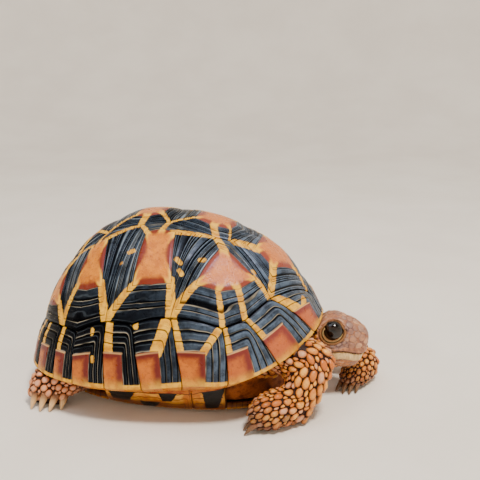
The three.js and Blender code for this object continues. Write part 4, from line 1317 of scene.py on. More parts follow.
def scaleSize(point, normal, name, share):
    # distance between neighbouring scales in mm, 0 where the skin is bare
    size = scaleSet
    if name == "head":
        single = point[None]
        if point[0] < 45:
            return size["neck"]
        if point[0] + 0.55 * (point[2] - 17) < 50.8 and point[2] < 22:
            return size["jowl"]
        gape = aboveMouth(single)[0]
        onEar = fromEar(single)[0] < face["earSize"] and abs(point[1]) > 4
        if eyeRing(single)[0] < 1.85 or fromNostril(single)[0] < 0.8 or onEar:
            return 0.0
        if point[0] > 52.0 and -3.7 < gape < 1.35:
            return 0.0
        if point[2] > 25.8:
            return size["crown"]
        if gape < 0:
            return size["throat"]
        return size["snout"] if point[0] > 57 else size["cheek"]
    if name == "tail":
        return size["tail"]
    if name.startswith("fore"):
        outward = normal @ np.array([0.45, -0.8 if name.endswith("right") else 0.8, 0.25])
        big = rise(-0.3, 0.5, outward) * rise(0.12, 0.35, share) * rise(1.02, 0.62, share)
        return float(mix(size["foreSmall"], size["foreBig"], big))
    # below the toes of the hind feet no scales grow, so the near-black skin there stands in for the shade
    # between the claws
    if share > 0.5 and point[2] < 3.6:
        return 0.0
    return float(mix(size["thigh"], size["foot"], rise(0.36, 0.5, share)))


def spreadRoots():
    # picks scale roots on the skin so that no two are closer than their size, largest scales first
    mesh = skinPiece.data
    mesh.calc_loop_triangles()
    corners = np.empty(len(mesh.loop_triangles) * 3, int)
    mesh.loop_triangles.foreach_get("vertices", corners)
    corners = corners.reshape(-1, 3)
    a, b, c = (skinPoints[corners[:, k]] for k in range(3))
    cross = np.cross(b - a, c - a)
    area = np.linalg.norm(cross, axis=1) / 2
    onLeg, onHead = (valuesOf(mesh, name)[corners].mean(1) for name in ("leg", "head"))
    shoulder = (a[:, 0] > 38) & (a[:, 2] > 17)
    weight = area * np.where(onHead > 0.5, 3.2, np.where((onLeg > 0.15) | shoulder, 1.0, 0))
    random = np.random.default_rng(scaleSet["seed"])
    chosen = random.choice(len(area), scaleSet["tries"], p=weight / weight.sum())
    r1, r2 = np.sqrt(random.random(len(chosen)))[:, None], random.random(len(chosen))[:, None]
    spots = a[chosen] * (1 - r1) + b[chosen] * r1 * (1 - r2) + c[chosen] * r1 * r2
    normals = cross[chosen] / np.linalg.norm(cross[chosen], axis=1, keepdims=True)
    legsAndTail = {name: np.array(path, float) for name, path in limbPaths.items() if name != "head"}
    found = []
    for spot, normal, head in zip(spots, normals, onHead[chosen]):
        name = "head"
        if head <= 0.5:
            name = min(legsAndTail, key=lambda n: np.min(np.linalg.norm(legsAndTail[n] - spot, axis=1)))
        far, share, along, around = placeOnLimb(spot, name)
        if far > 13:
            continue
        size = scaleSize(spot, normal, name, share)
        if size:
            found.append(scaleRoot(size, spot, normal, name, share, along, around))
    small = [root._replace(size=root.size * scaleSet["between"]) for root in found if root.limb != "head"]
    grid, kept = {}, []
    cellsAround = [(dx, dy, dz) for dx in (-1, 0, 1) for dy in (-1, 0, 1) for dz in (-1, 0, 1)]
    for root in found + small:
        squeeze = 1 - 1 / stretches[root.limb] ** 2
        key = (root.spot // scaleSet["cell"]).astype(int)
        near = (other for step in cellsAround for other in grid.get(tuple(key + step), ()))
        for other in near:
            step = other.spot - root.spot
            away = step @ step - squeeze * (step @ root.along) ** 2
            if away < ((root.size + other.size) * scaleSet["nearest"]) ** 2:
                break
        else:
            grid.setdefault(tuple(key), []).append(root)
            kept.append(root)
    return kept


def footShade(spot, name, share):
    # painted shade: the fore hands darken towards the claws and the ground, the hind legs above the foot,
    # under the rim
    if name.startswith("hind"):
        return float(rise(0.5, 0.38, share))
    if name in ("tail", "head"):
        return 0.0
    return float(rise(0.72, 1.0, share) * 0.9 + 0.6 * rise(5.0, 1.0, spot[2]))


def jowlEdge(point):
    # 0 on the neck and jowl, 1 on the face
    return float(rise(-0.6, 0.8, point[0] + 0.55 * min(point[2] - 17, 7) - 50.8))


around = np.linspace(0, 2 * math.pi, scaleSet["sides"], endpoint=False)
cosines, sines = np.cos(around), np.sin(around)


def edgeReach(roots, i, tree, ahead, across):
    # how far scale i grows to each side before it meets its neighbours
    root = roots[i]
    reach = np.full(len(cosines), root.size * 0.72)
    for _, j, _ in tree.find_range(Vector(root.spot), root.size * 1.4 + 3.0):
        other = roots[j]
        if j == i or other.normal @ root.normal < 0.1:
            continue
        step = other.spot - root.spot
        x, y = step @ ahead / stretches[root.limb], step @ across
        away = math.hypot(x, y)
        if away < 1e-6:
            continue
        limit = away * root.size / (root.size + other.size)
        facing = (cosines * x + sines * y) / away
        reach = np.where(facing > 0.05, np.minimum(reach, limit / np.maximum(facing, 0.05)), reach)
    reach = 0.8 * reach + 0.2 * reach.min() * 1.1 - scaleSet["gap"]
    reach = np.maximum(reach, root.size * 0.12)
    rounded = (np.roll(reach, 1) + 2 * reach + np.roll(reach, -1)) / 4
    return np.minimum(rounded, reach * 1.05)


def scaleBody(root, reach, ahead, across, lift, surface):
    # four rings of points that follow the skin, from the sunken edge up to the top, and a point at each end
    overlap = scaleSet["foreOverlap"] if root.limb.startswith("fore") else scaleSet["overlap"]
    lean = np.maximum(cosines, 0)
    # each ring's share of the reach, and its height
    profile = ((0.95, -scaleSet["sink"]), (1.0, 0.2 * lift), (0.82, 0.7 * lift), (0.45, 1.02 * lift))
    rings = []
    for spread, height in profile:
        radius = reach * spread * (1 + 0.4 * overlap * lean * (spread > 0.8))
        onwards, aside = cosines * radius * stretches[root.limb], sines * radius
        flat = root.spot + np.outer(onwards, ahead) + np.outer(aside, across)
        for k, target in enumerate(flat):
            hit, hitNormal, _, _ = surface.find_nearest(Vector(target))
            up = root.normal if np.dot(hitNormal, root.normal) < 0.3 else np.array(hitNormal)
            rings.append(np.array(hit) + up * (height + overlap * lift * cosines[k] * (height > 0)))
    ends = [root.spot - root.normal * scaleSet["sink"] * 1.2, root.spot + root.normal * 1.12 * lift]
    body = np.array([*rings, *ends])
    body[:, 2] = np.maximum(body[:, 2], 0.0)
    return body


def scaleLift(root):
    if root.limb == "head":
        return root.size * mix(scaleSet["neckHeight"], scaleSet["headHeight"], jowlEdge(root.spot))
    return root.size * scaleSet["legHeight"]


def scaleMarks(root, tint):
    # one number each for the whole scale, which its colours are made from
    x, _, z = root.spot
    onHead = root.limb == "head"
    fromDarkPatch = math.hypot(x - face["darkPatch"][0], (z - face["darkPatch"][1]) * 1.6)
    inDarkPatch = onHead and fromDarkPatch < face["darkPatchSize"]
    return {
        "tint": tint,
        "grey": greyShare(root.spot[None])[0] if onHead else 0.8 * root.limb.startswith("hind"),
        "head": jowlEdge(root.spot) if onHead else 0.0,
        # a real dark patch on the head, plus painted shade on the feet
        "dark": float(inDarkPatch) + footShade(root.spot, root.limb, root.share),
    }


mapSpot = 0.003  # each scale's own part of the map is about this wide


def limbMapPlace(root):
    # the map has a cell for each limb, three in a row; along it upwards, round it sideways
    cell = list(limbPaths).index(root.limb)
    return np.array([(cell % 3 + 0.05 + 0.9 * (root.around / (2 * math.pi) + 0.5)) / 3,
                     (cell // 3 + 0.05 + 0.9 * root.share) / 3])


def growScales(roots):
    surface = BVHTree.FromPolygons([Vector(p) for p in skinPoints], facesOf(skinPiece.data))
    tree = KDTree(len(roots))
    for i, root in enumerate(roots):
        tree.insert(Vector(root.spot), i)
    tree.balance()
    random = np.random.default_rng(scaleSet["seed"] + 1)
    template = ringFaces(4, len(cosines))
    ringPlaces = np.concatenate([np.repeat([1.1, 1.0, 0.84, 0.46], len(cosines)), [1.0, 0.0]])
    groups = {name: defaultdict(list) for name in limbPaths}
    for i, root in enumerate(roots):
        ahead = root.along - root.normal * (root.along @ root.normal)
        if np.linalg.norm(ahead) < 0.2:
            ahead = np.cross(root.normal, [0.0, 1.0, 0.0])
        ahead /= np.linalg.norm(ahead)
        across = np.cross(root.normal, ahead)
        reach = edgeReach(roots, i, tree, ahead, across)
        body = scaleBody(root, reach, ahead, across, scaleLift(root) * random.uniform(0.85, 1.15), surface)
        group = groups[root.limb]
        start = len(group["points"]) * len(body)
        group["faces"] += [tuple(k + start for k in f) for f in template]
        group["points"].append(body)
        group["rim"].append(ringPlaces)
        for key, value in scaleMarks(root, random.random()).items():
            group[key].append(np.full(len(body), value))
        local = np.stack([(body - root.spot) @ ahead, (body - root.spot) @ across], 1) / (2.4 * root.size)
        group["map"].append(limbMapPlace(root) + local * mapSpot)
    return groups


def scalePieces(groups):
    pieces = []
    for name, group in groups.items():
        points = np.concatenate(group["points"])
        values = {key: np.concatenate(group[key]) for key in ("rim", "tint", "grey", "head", "dark")}
        piece = meshPiece("scales_" + name, toFrame(points), group["faces"], values)
        addBakeMap(piece.data, np.concatenate(group["map"]))
        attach(piece, "root")
        pieces.append(piece)
        print(name, len(group["points"]), "scales")
    return pieces


limbScales = scalePieces(growScales(spreadRoots()))
print("scales made")

scaleColours = {
    "pale": "#F4B04A", "deep": "#C46A20", "dusty": "#D2A088", "dark": "#3A180A", "rim": "#1C0704",
    "foot": "#D69A7C", "face": "#A06A4C", "facePale": "#C89470", "faceGrey": "#6E5E60", "faceRim": "#4E2418",
}


def scaleMaterial():
    # thick horny scales: pale orange and slightly glossy on top, dark red-brown in the creases between them,
    # which is painted shade
    material, tree, place = newMaterial("hornyLegScales")
    tint, rim, head = attributeOut(tree, "tint"), attributeOut(tree, "rim"), attributeOut(tree, "head")
    leg = blendOut(tree, stepOut(tree, tint, 0.0, 0.6), scaleColours["deep"], scaleColours["pale"])
    mottled = stepOut(tree, noiseOut(tree, place, 1.2, 4.0), 0.42, 0.7, 0, 0.7)
    leg = blendOut(tree, mottled, leg, scaleColours["deep"])
    dusty = product(tree, stepOut(tree, tint, 0.64, 0.68), stepOut(tree, tint, 0.88, 0.84, 0, 0.75))
    leg = blendOut(tree, dusty, leg, scaleColours["dusty"])
    footShare = product(tree, attributeOut(tree, "grey"), opposite(tree, head))
    leg = blendOut(tree, footShare, leg, scaleColours["foot"])
    leg = blendOut(tree, stepOut(tree, rim, 0.3, 1.0, 0, 0.8), leg, scaleColours["deep"])
    # the darkest random scales are their own colour; the dark marks add painted shade
    darkOnes = stepOut(tree, tint, 0.92, 1.0, 0, 0.6)
    shade = mathOut(tree, "ADD", darkOnes, product(tree, attributeOut(tree, "dark"), 0.75))
    leg = blendOut(tree, mathOut(tree, "MINIMUM", shade, 0.85), leg, scaleColours["dark"])
    # painted shade: each scale turns near-black where it sinks into the skin
    leg = blendOut(tree, stepOut(tree, rim, 0.78, 1.06), leg, scaleColours["rim"])
    facial = blendOut(tree, stepOut(tree, tint, 0.2, 0.8), scaleColours["face"], scaleColours["facePale"])
    grey = mathOut(tree, "ADD", attributeOut(tree, "grey"), stepOut(tree, tint, 0.78, 0.95, 0, 0.6))
    facial = blendOut(tree, mathOut(tree, "MINIMUM", grey, 0.9), facial, scaleColours["faceGrey"])
    blotches = stepOut(tree, noiseOut(tree, place, 2.6, 4.0, 0.6), 0.45, 0.65, 0, 0.55)
    facial = blendOut(tree, blotches, facial, scaleColours["faceGrey"])
    facial = blendOut(tree, stepOut(tree, rim, 0.86, 1.04, 0, 0.8), facial, scaleColours["faceRim"])
    speckles = stepOut(tree, noiseOut(tree, place, 0.4, 2.0), 0.64, 0.72, 0, 0.6)
    facial = blendOut(tree, speckles, facial, scaleColours["faceRim"])
    colour = blendOut(tree, head, leg, facial)
    fine = noiseOut(tree, place, 0.3, 4.0, 0.6)
    roughness = stepOut(tree, noiseOut(tree, place, 1.5, 3.0), 0.3, 0.7, 0.3, 0.52)
    finishMaterial(tree, colour, roughness, [(fine, 0.025)], IOR=1.5, **{"Specular IOR Level": 0.5})
    return material


# the fore claws' colours are dark brown: painted shade, as they sit in shade under the hands
clawColours = {"root": "#7E5030", "tip": "#DDB47C", "patchy": "#8E6A48", "shadedTip": "#6A4C30", "shadedStreak": "#3E2618"}


def clawMaterial(name, tip, darkening):
    # dull worn keratin, brown where it leaves the foot and paler towards the tip, with lengthwise streaks
    material, tree, place = newMaterial(name)
    streaks = noiseOut(tree, place, 0.5, 4.0, 0.6, (1.0, 1.0, 0.25))
    share = mathOut(tree, "ADD", attributeOut(tree, "fromRoot"), mathOut(tree, "MULTIPLY", streaks, 0.3))
    colour = blendOut(tree, stepOut(tree, share, 0.3, 0.85), clawColours["root"], tip)
    colour = blendOut(tree, stepOut(tree, streaks, 0.5, 0.7, 0, 0.5), colour, darkening)
    roughness = stepOut(tree, streaks, 0.3, 0.7, 0.35, 0.55)
    finishMaterial(tree, colour, roughness, [(streaks, 0.03)], IOR=1.5)
    return material


scaleSurface = scaleMaterial()
hindClawSurface = clawMaterial("wornClawKeratin", clawColours["tip"], clawColours["patchy"])
# painted shade: the fore claws take the dark colours
foreClawSurface = clawMaterial("shadeDarkClawKeratin", clawColours["shadedTip"], clawColours["shadedStreak"])
for piece in limbScales:
    piece.data.materials.append(scaleSurface)
for piece in clawPieces:
    piece.data.materials.append(hindClawSurface if "hind" in piece.name else foreClawSurface)
print("scales and claws finished")

# ---- belly plates: each is a pair, grown together across the middle line ----
belly = {
    "names": ["gular", "humeral", "pectoral", "abdominal", "femoral", "anal"],
    "seams": [39.6, 30, 21, 11, -17, -27, -37.6],
    "centre": 1.0, "halfLength": 39.0, "halfWidth": 23.5, "squareness": 2.3, "bottom": 1.5, "thick": 1.5,
    "front": 21, "rear": -17, "rows": 56, "columns": 41, "wingColumns": 26, "ridge": 0.1, "rings": 6,
    "wingTall": 9.4, "wingSwell": 0.7, "bandDrop": 2.0, "turnUp": 0.5,
}
bellyColours = {
    "deep": "#B4661C", "pale": "#E2A238", "line": "#4A1C0C", "patch": "#060505", "darkening": "#5A2A14",
    "bandDeep": "#8E3C14", "bandLine": "#2A1008", "seam": "#3A1A0E",
}
# (x, across, half length, half width); across is 0 in the middle, 1 at the turn, 2 at the rim
darkPatches = [
    (17.4, 1.44, 3.9, 0.4), (3.5, 1.6, 3.3, 0.24), (-11.4, 1.58, 5.6, 0.34), (-2.8, 1.12, 3.6, 0.17),
    (6, 0.55, 3.6, 0.22), (-9, 0.6, 4.2, 0.24), (17, 0.5, 2.6, 0.24), (26, 0.5, 3.0, 0.26),
    (34, 0.4, 2.6, 0.3), (-21.5, 0.55, 3.4, 0.26), (-31.5, 0.5, 3.4, 0.3),
]


def bellyHalfWidth(x):
    share = np.minimum(np.abs(x - belly["centre"]) / belly["halfLength"], 1)
    return belly["halfWidth"] * (1 - share ** belly["squareness"]) ** (1 / belly["squareness"])


def rimAt(x):
    # the flange's inner edge at each x, found by halving
    low, high = np.zeros_like(x), np.full_like(x, math.pi)
    for _ in range(30):
        half = (low + high) / 2
        ahead = flangeInner(half)[..., 0] > x
        low, high = np.where(ahead, half, low), np.where(ahead, high, half)
    return flangeInner(low, 0.2, -0.35)


def bellyPlate(name, front, rear, winged):
    x = np.linspace(front, rear, belly["rows"])[:, None]
    middle = np.linspace(-1, 1, belly["columns"])
    wing = np.linspace(1, 2, belly["wingColumns"])[1:]
    across = (np.concatenate([-wing[::-1], middle, wing]) if winged else middle)[None, :]
    half, size, side = bellyHalfWidth(x), np.abs(across), np.sign(across)
    onWing = np.clip(size - 1, 0, 1)
    y, z = side * half * np.minimum(size, 1), belly["bottom"] + belly["turnUp"] * rise(0.8, 1.0, size) + 0 * x
    if winged:
        edge = rimAt(x[:, 0])
        y = y + side * (edge[:, 1:2] - half) * onWing ** 0.8
        z = z + (edge[:, 2:3] - belly["bottom"] - belly["turnUp"]) * onWing
    # growth lines run round the outer rear corner of each half
    length = front - rear
    ring = np.maximum((x - rear) / length, 1 - np.minimum(size, 1)) * belly["rings"]
    towardsSeam = np.abs((x - rear) / length - 0.5) * 2
    ring = np.where(size > 1, np.maximum(towardsSeam**7, size - 1) * 4, ring)
    ring = ring + 0.22 * waves(x[:, 0], 14, 5)[:, None]
    ends = np.minimum(front - x, x - rear)
    dip = 0.3 * (1 - rise(0, 0.4, ends)) + 0.25 * (1 - rise(0, 0.4, size * half)) * (size < 1)
    push = np.stack([np.zeros_like(y), side * onWing * belly["wingSwell"] + 0 * x, -np.ones_like(y)], -1)
    relief = belly["ridge"] * np.abs(np.sin(math.pi * ring)) ** 0.6 - dip
    flat = np.stack([x + 0 * across, y, z], -1)
    outer = flat + push * relief[..., None]
    inner = flat.copy()
    inner[..., 2] += belly["thick"] * (1 + 0.4 * onWing * (1 - onWing))
    inner[..., 1] -= side * 0.9 * rise(0.85, 1.05, size)
    dark = np.full(y.shape, -1.0)
    for patchX, patchAcross, halfLong, halfWide in darkPatches:
        ahead, up = x - patchX, (size - patchAcross) / halfWide
        patch = 1 - np.hypot(ahead / halfLong, up)
        if patchAcross > 1:  # wedges on the bridge, narrower below
            up = np.clip(up, -1.5, 1.5)
            wedge = np.abs(ahead - 0.5 * up) / (halfLong * (0.75 + 0.25 * up))
            patch = 1.3 * (1 - np.maximum(wedge, np.abs(up)))
        dark = np.maximum(dark, patch)
    seam = np.minimum(ends + 0 * y, np.where(size < 1, size * half, 9))
    # the marginals' undersides come down over the top of the bridge
    rimSeamAt = onRim(rimSeams[3:8], 0, 0)[:, 0]
    toRimSeam = np.abs(x - rimSeamAt[None, :]).min(1, keepdims=True)
    drop = belly["bandDrop"] + 0.5 * bump(toRimSeam, 0, 2.5)
    band = drop - (2 - size) * belly["wingTall"]
    seam = np.where(band > 0, toRimSeam, seam)
    fields = {"dark": dark, "ring": ring, "seam": seam, "band": band}
    values = {key: np.tile(field.reshape(-1), 2) for key, field in fields.items()}
    both = np.concatenate([outer.reshape(-1, 3), inner.reshape(-1, 3)])
    faces = sheetFaces(belly["rows"], across.shape[1])
    piece = meshPiece(f"plastron_{name}_horn", toFrame(both), faces, values)
    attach(piece, "root")
    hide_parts(f"plastron_{name}")
    return piece


def bellyMaterial():
    # thin satin horn: yellow, dull with wear, with dark smoky patches and brown growth lines; the low part of
    # the bridge is darkened as painted shade
    material, tree, place = newMaterial("wornBellyHorn")
    cloud = noiseOut(tree, place, 3.0, 4.0, 0.6)
    colour = blendOut(tree, stepOut(tree, cloud, 0.35, 0.7), bellyColours["deep"], bellyColours["pale"])
    colour = blendOut(tree, product(tree, ringLine(tree, 0, 0.07), 0.85), colour, bellyColours["line"])
    fraying = product(tree, noiseOut(tree, place, 1.6, 4.0), 0.5)
    frayed = mathOut(tree, "ADD", attributeOut(tree, "dark"), fraying)
    colour = blendOut(tree, stepOut(tree, frayed, 0.28, 0.4), colour, bellyColours["patch"])
    # painted shade: the low part of the bridge is darkened, but not the flat underside
    height = addNode(tree, "ShaderNodeSeparateXYZ", {0: place}).outputs["Z"]
    fading = stepOut(tree, height, 2.6 * mm, 7.5 * mm, 0.9, 0.0)
    darkening = product(tree, stepOut(tree, height, 1.7 * mm, 2.6 * mm), fading)
    colour = blendOut(tree, darkening, colour, bellyColours["darkening"], "MULTIPLY")
    band = ragged(tree, place, "band", 2.0, 0.2)
    edge = blendOut(tree, stepOut(tree, cloud, 0.4, 0.65), hornColours["under"], bellyColours["bandDeep"])
    colour = blendOut(tree, stepOut(tree, band, -0.05, 0.05), colour, edge)
    line = stepOut(tree, mathOut(tree, "ABSOLUTE", band), 0.05, 0.22, 0.9, 0.0)
    colour = blendOut(tree, line, colour, bellyColours["bandLine"])
    seam = stepOut(tree, attributeOut(tree, "seam"), 0.08, 0.3, 0.7, 0.0)
    colour = blendOut(tree, seam, colour, bellyColours["seam"])
    roughness = stepOut(tree, cloud, 0.3, 0.7, 0.36, 0.56)
    finishMaterial(tree, colour, roughness, [(noiseOut(tree, place, 0.4, 4.0), 0.02)], IOR=1.5,
                   **{"Specular IOR Level": 0.3})
    return material


bellySurface = bellyMaterial()
for name, front, rear in zip(belly["names"], belly["seams"], belly["seams"][1:]):
    winged = front <= belly["front"] and rear >= belly["rear"]
    bellyPlate(name, front, rear, winged).data.materials.append(bellySurface)
print("belly plates made")

# ---- the beak: a hard sheath over the edge of each jaw, peeled from the skin's own shape ----
beak = {"lift": 0.14, "thick": 0.5, "lowerTall": 2.9, "upperTall": 1.15, "start": 52.4}
beakColours = {"lower": "#EACA90", "lowerDeep": "#C29A60", "upper": "#B47850", "upperDeep": "#7E4E3A"}


def beakDepth(points, upperJaw):
    gape, behind = aboveMouth(points), points[:, 0] - beak["start"]
    if upperJaw:
        return np.minimum(np.minimum(gape - 0.12, beak["upperTall"] + 0.14 * behind - gape), behind)
    return np.minimum(np.minimum(-0.16 - gape, gape + beak["lowerTall"]), behind)


def makeBeak(name, upperJaw):
    depth = np.where(skinHead > 0.6, beakDepth(skinPoints, upperJaw), -1)
    faces = [f for f in facesOf(skinPiece.data) if all(depth[v] > 0 for v in f)]
    used = sorted({v for f in faces for v in f})
    index = {v: i for i, v in enumerate(used)}
    count = len(used)
    normals = normalsOf(skinPiece.data)[used]
    lift = beak["lift"] * rise(0, 0.3, depth[used])[:, None]
    outer, inner = skinPoints[used] + normals * lift, skinPoints[used] - normals * beak["thick"]
    outside = [tuple(index[v] for v in f) for f in faces]
    edges = dict.fromkeys(edge for f in outside for edge in zip(f, f[1:] + f[:1]))
    walls = [(b, a, a + count, b + count) for a, b in edges if (b, a) not in edges]
    inside = [tuple(v + count for v in f[::-1]) for f in outside]
    piece = meshPiece(name, toFrame(np.concatenate([outer, inner])), outside + inside + walls)
    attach(piece, "root")
    return piece


def beakMaterial(name, pale, deep):
    # chipped dull horn with fine upright streaks
    material, tree, place = newMaterial(name)
    streaks = noiseOut(tree, place, 0.9, 4.0, 0.6, (1.0, 1.0, 0.35))
    colour = blendOut(tree, stepOut(tree, streaks, 0.35, 0.68), deep, pale)
    roughness = stepOut(tree, streaks, 0.3, 0.7, 0.3, 0.48)
    finishMaterial(tree, colour, roughness, [(streaks, 0.03)], IOR=1.52)
    return material


skinHead = valuesOf(skinPiece.data, "head")
paleHorn = beakMaterial("paleBeakHorn", beakColours["lower"], beakColours["lowerDeep"])
tanHorn = beakMaterial("tanBeakHorn", beakColours["upper"], beakColours["upperDeep"])
makeBeak("beak_lower", False).data.materials.append(paleHorn)
makeBeak("beak_upper", True).data.materials.append(tanHorn)
print("beak made")

# ---- small grains on the loose skin of the leg openings ----
grains = {
    "spacing": 0.00085, "size": 0.0005, "seed": 5, "densest": 3e6, "smallest": 0.7, "largest": 1.15,
    "pale": "#C27E3C", "deep": "#8E4C20",
}


def grainTree():
    tree = bpy.data.node_groups.new("skinGrains", "GeometryNodeTree")
    tree.interface.new_socket("Geometry", in_out="INPUT", socket_type="NodeSocketGeometry")
    tree.interface.new_socket("Geometry", in_out="OUTPUT", socket_type="NodeSocketGeometry")
    kinds = {"Spacing": "Float", "Grain Size": "Float", "Seed": "Int", "Material": "Material"}
    for name, kind in kinds.items():
        tree.interface.new_socket(name, in_out="INPUT", socket_type="NodeSocket" + kind)
    given = tree.nodes.new("NodeGroupInput").outputs
    grained = addNode(tree, "GeometryNodeInputNamedAttribute", {"Name": "grained"}, data_type="FLOAT")
    spread = addNode(tree, "GeometryNodeDistributePointsOnFaces", {
        "Mesh": given["Geometry"], "Distance Min": given["Spacing"], "Density Max": grains["densest"],
        "Density Factor": grained.outputs["Attribute"], "Seed": given["Seed"]}, distribute_method="POISSON")
    place = addNode(tree, "GeometryNodeInputPosition")
    rooted = addNode(tree, "GeometryNodeStoreNamedAttribute", {
        "Geometry": spread.outputs["Points"], "Name": "root", "Value": place.outputs[0]},
        data_type="FLOAT_VECTOR", domain="POINT")
    chance = addNode(tree, "FunctionNodeRandomValue", {
        2: grains["smallest"], 3: grains["largest"], "Seed": given["Seed"]}, data_type="FLOAT")
    size = mathOut(tree, "MULTIPLY", chance.outputs[1], given["Grain Size"])
    half = mathOut(tree, "MULTIPLY", size, 0.5)
    flatten = addNode(tree, "ShaderNodeCombineXYZ", {"X": size, "Y": size, "Z": half})
    ball = addNode(tree, "GeometryNodeMeshIcoSphere", {"Radius": 1.0, "Subdivisions": 2})
    beads = addNode(tree, "GeometryNodeInstanceOnPoints", {
        "Points": rooted.outputs["Geometry"], "Instance": ball.outputs["Mesh"],
        "Rotation": spread.outputs["Rotation"], "Scale": flatten.outputs[0]})
    real = addNode(tree, "GeometryNodeRealizeInstances", {"Geometry": beads.outputs[0]})
    coloured = addNode(tree, "GeometryNodeSetMaterial", {
        "Geometry": real.outputs[0], "Material": given["Material"]})
    addNode(tree, "NodeGroupOutput", {0: coloured.outputs[0]})
    return tree


def grainMaterial():
    # small dry grains, orange-brown on dark creases
    material, tree, place = newMaterial("dryGrains")
    cloud = noiseOut(tree, place, 1.6, 4.0, 0.6)
    colour = blendOut(tree, stepOut(tree, cloud, 0.35, 0.65), grains["deep"], grains["pale"])
    roughness = stepOut(tree, cloud, 0.3, 0.7, 0.5, 0.68)
    finishMaterial(tree, colour, roughness, [(noiseOut(tree, place, 0.2, 3.0), 0.02)])
    return material


def makeGrains():
    host = linkedObject("grainHost", skinPiece.data)
    tree = grainTree()
    modifier = host.modifiers.new("grains", "NODES")
    modifier.node_group = tree
    sockets = {s.name: s.identifier for s in tree.interface.items_tree if s.in_out == "INPUT"}
    modifier[sockets["Spacing"]] = grains["spacing"]
    modifier[sockets["Grain Size"]] = grains["size"]
    modifier[sockets["Seed"]] = grains["seed"]
    modifier[sockets["Material"]] = grainMaterial()
    bpy.context.view_layer.update()
    mesh = bpy.data.meshes.new_from_object(host.evaluated_get(bpy.context.evaluated_depsgraph_get()))
    bpy.data.objects.remove(host)
    mesh.name = "skin_grains"
    mesh.shade_smooth()
    roots = np.empty(len(mesh.vertices) * 3, np.float32)
    mesh.attributes["root"].data.foreach_get("vector", roots)
    roots, places = roots.reshape(-1, 3), pointsOf(mesh)
    # on the map each grain lies where its root does: round the animal sideways, along it upwards
    angle = np.arctan2(roots[:, 2] - 0.015, roots[:, 1]) / (2 * math.pi) + 0.5
    share = (roots[:, 0] - cadBox[0][0]) / (cadBox[1][0] - cadBox[0][0])
    spots = np.stack([0.02 + 0.3 * angle, 0.69 + 0.28 * share], 1)
    spots = spots + (places - roots)[:, :2] / (2.4 * grains["size"]) * mapSpot
    while mesh.uv_layers:
        mesh.uv_layers.remove(mesh.uv_layers[0])
    addBakeMap(mesh, spots)
    piece = linkedObject("skin_grains", mesh)
    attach(piece, "root")
    print("grains made, faces:", len(mesh.polygons))


makeGrains()

# ---- floor, light and camera ----
studio = {
    "floor": "#F4F0E9", "floorWorn": "#EDE8E0",
    "flatRadius": 0.5, "bend": 0.35, "wallTop": 1.1, "columns": 96,
    "azimuth": 10.64, "elevation": 15.3, "distance": 0.25, "lens": 56.29,
    "aim": (0.01968, 0.00906, 0.04827),  # from the middle of the shell, at floor height
    "lampsFace": (0, 0, 0.03),
    "sky": "#E9ECF0", "skyLow": 0.14, "skyHigh": 0.08,  # strengths near the horizon and overhead
}
# each light's place, size, watts and colour
lights = {
    "keyLight": ((0.22, -0.25, 0.74), 0.15, 7.2, "#FFF4E6"),
    "skyLight": ((-0.3, -0.2, 0.75), 0.5, 1.5, "#E9F0FF"),
    "wallLight": ((0.1, 0.15, 0.9), 0.7, 1.9, "#FFF9F0"),
}


def floorMaterial():
    # pale matt board: keeps attention on the animal and gives it a soft contact shadow
    material, tree, place = newMaterial("paleMattBoard")
    wear = stepOut(tree, noiseOut(tree, place, 60, 3.0), 0.3, 0.7)
    tone = blendOut(tree, wear, studio["floor"], studio["floorWorn"])
    finishMaterial(tree, tone, 0.9, [(noiseOut(tree, place, 1.2, 4.0), 0.05)])
    return material


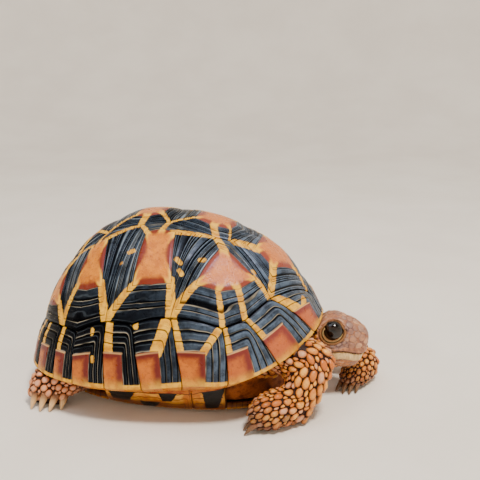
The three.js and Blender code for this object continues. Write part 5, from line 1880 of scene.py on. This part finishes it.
def makeFloor():
    # a flat disc that bends up into a wall all round
    flat, bend, columns = studio["flatRadius"], studio["bend"], studio["columns"]
    profile = [(flat * k / 4, 0.0) for k in range(1, 5)]
    turns = np.linspace(0, math.pi / 2, 17)[1:]
    profile += [(flat + bend * math.sin(turn), bend * (1 - math.cos(turn))) for turn in turns]
    profile += [(flat + bend, studio["wallTop"])]
    angles = np.linspace(0, 2 * math.pi, columns, endpoint=False)
    points = [(0, 0, 0)] + [(r * math.cos(a), r * math.sin(a), z) for r, z in profile for a in angles]
    following = [(k + 1) % columns for k in range(columns)]
    faces = [(0, 1 + k, 1 + n) for k, n in enumerate(following)]
    for i in range(len(profile) - 1):
        low, high = 1 + i * columns, 1 + (i + 1) * columns
        faces += [(low + k, high + k, high + n, low + n) for k, n in enumerate(following)]
    mesh = bpy.data.meshes.new("floor")
    mesh.from_pydata(points, [], faces)
    mesh.shade_smooth()
    mesh.materials.append(floorMaterial())
    linkedObject("floor", mesh)


def areaLight(name, place, size, watts, colour):
    light = bpy.data.lights.new(name, "AREA")
    light.shape, light.size, light.energy = "DISK", size, watts
    light.color = linear(colour)[:3]
    lamp = linkedObject(name, light)
    lamp.location = place
    lamp.rotation_euler = (Vector(studio["lampsFace"]) - lamp.location).to_track_quat("-Z", "Y").to_euler()


makeFloor()
for name, settings in lights.items():
    areaLight(name, *settings)

world = bpy.data.worlds.new("paleRoom")
bpy.context.scene.world = world
world.use_nodes = True
# brighter near the horizon than overhead, so that the glossy horn keeps deep blacks
tree = world.node_tree
direction = addNode(tree, "ShaderNodeTexCoord").outputs["Generated"]
upwards = addNode(tree, "ShaderNodeSeparateXYZ", {0: direction}).outputs["Z"]
strength = stepOut(tree, upwards, 0.04, 0.35, studio["skyLow"], studio["skyHigh"])
background = tree.nodes["Background"]
background.inputs["Color"].default_value = linear(studio["sky"])
tree.links.new(strength, background.inputs["Strength"])

azimuth, elevation = math.radians(studio["azimuth"]), math.radians(studio["elevation"])
aim = Vector(studio["aim"]) + Vector((shellMiddle, 0, 0))
level = math.cos(elevation)
back = Vector((math.sin(azimuth) * level, -math.cos(azimuth) * level, math.sin(elevation)))
cameraData = bpy.data.cameras.new("camera")
cameraData.lens, cameraData.sensor_width = studio["lens"], 36
cameraData.clip_start = 0.01
camera = linkedObject("camera", cameraData)
camera.location = aim + back * studio["distance"]
camera.rotation_euler = (-back).to_track_quat("-Z", "Y").to_euler()
bpy.context.scene.camera = camera
print("studio ready")
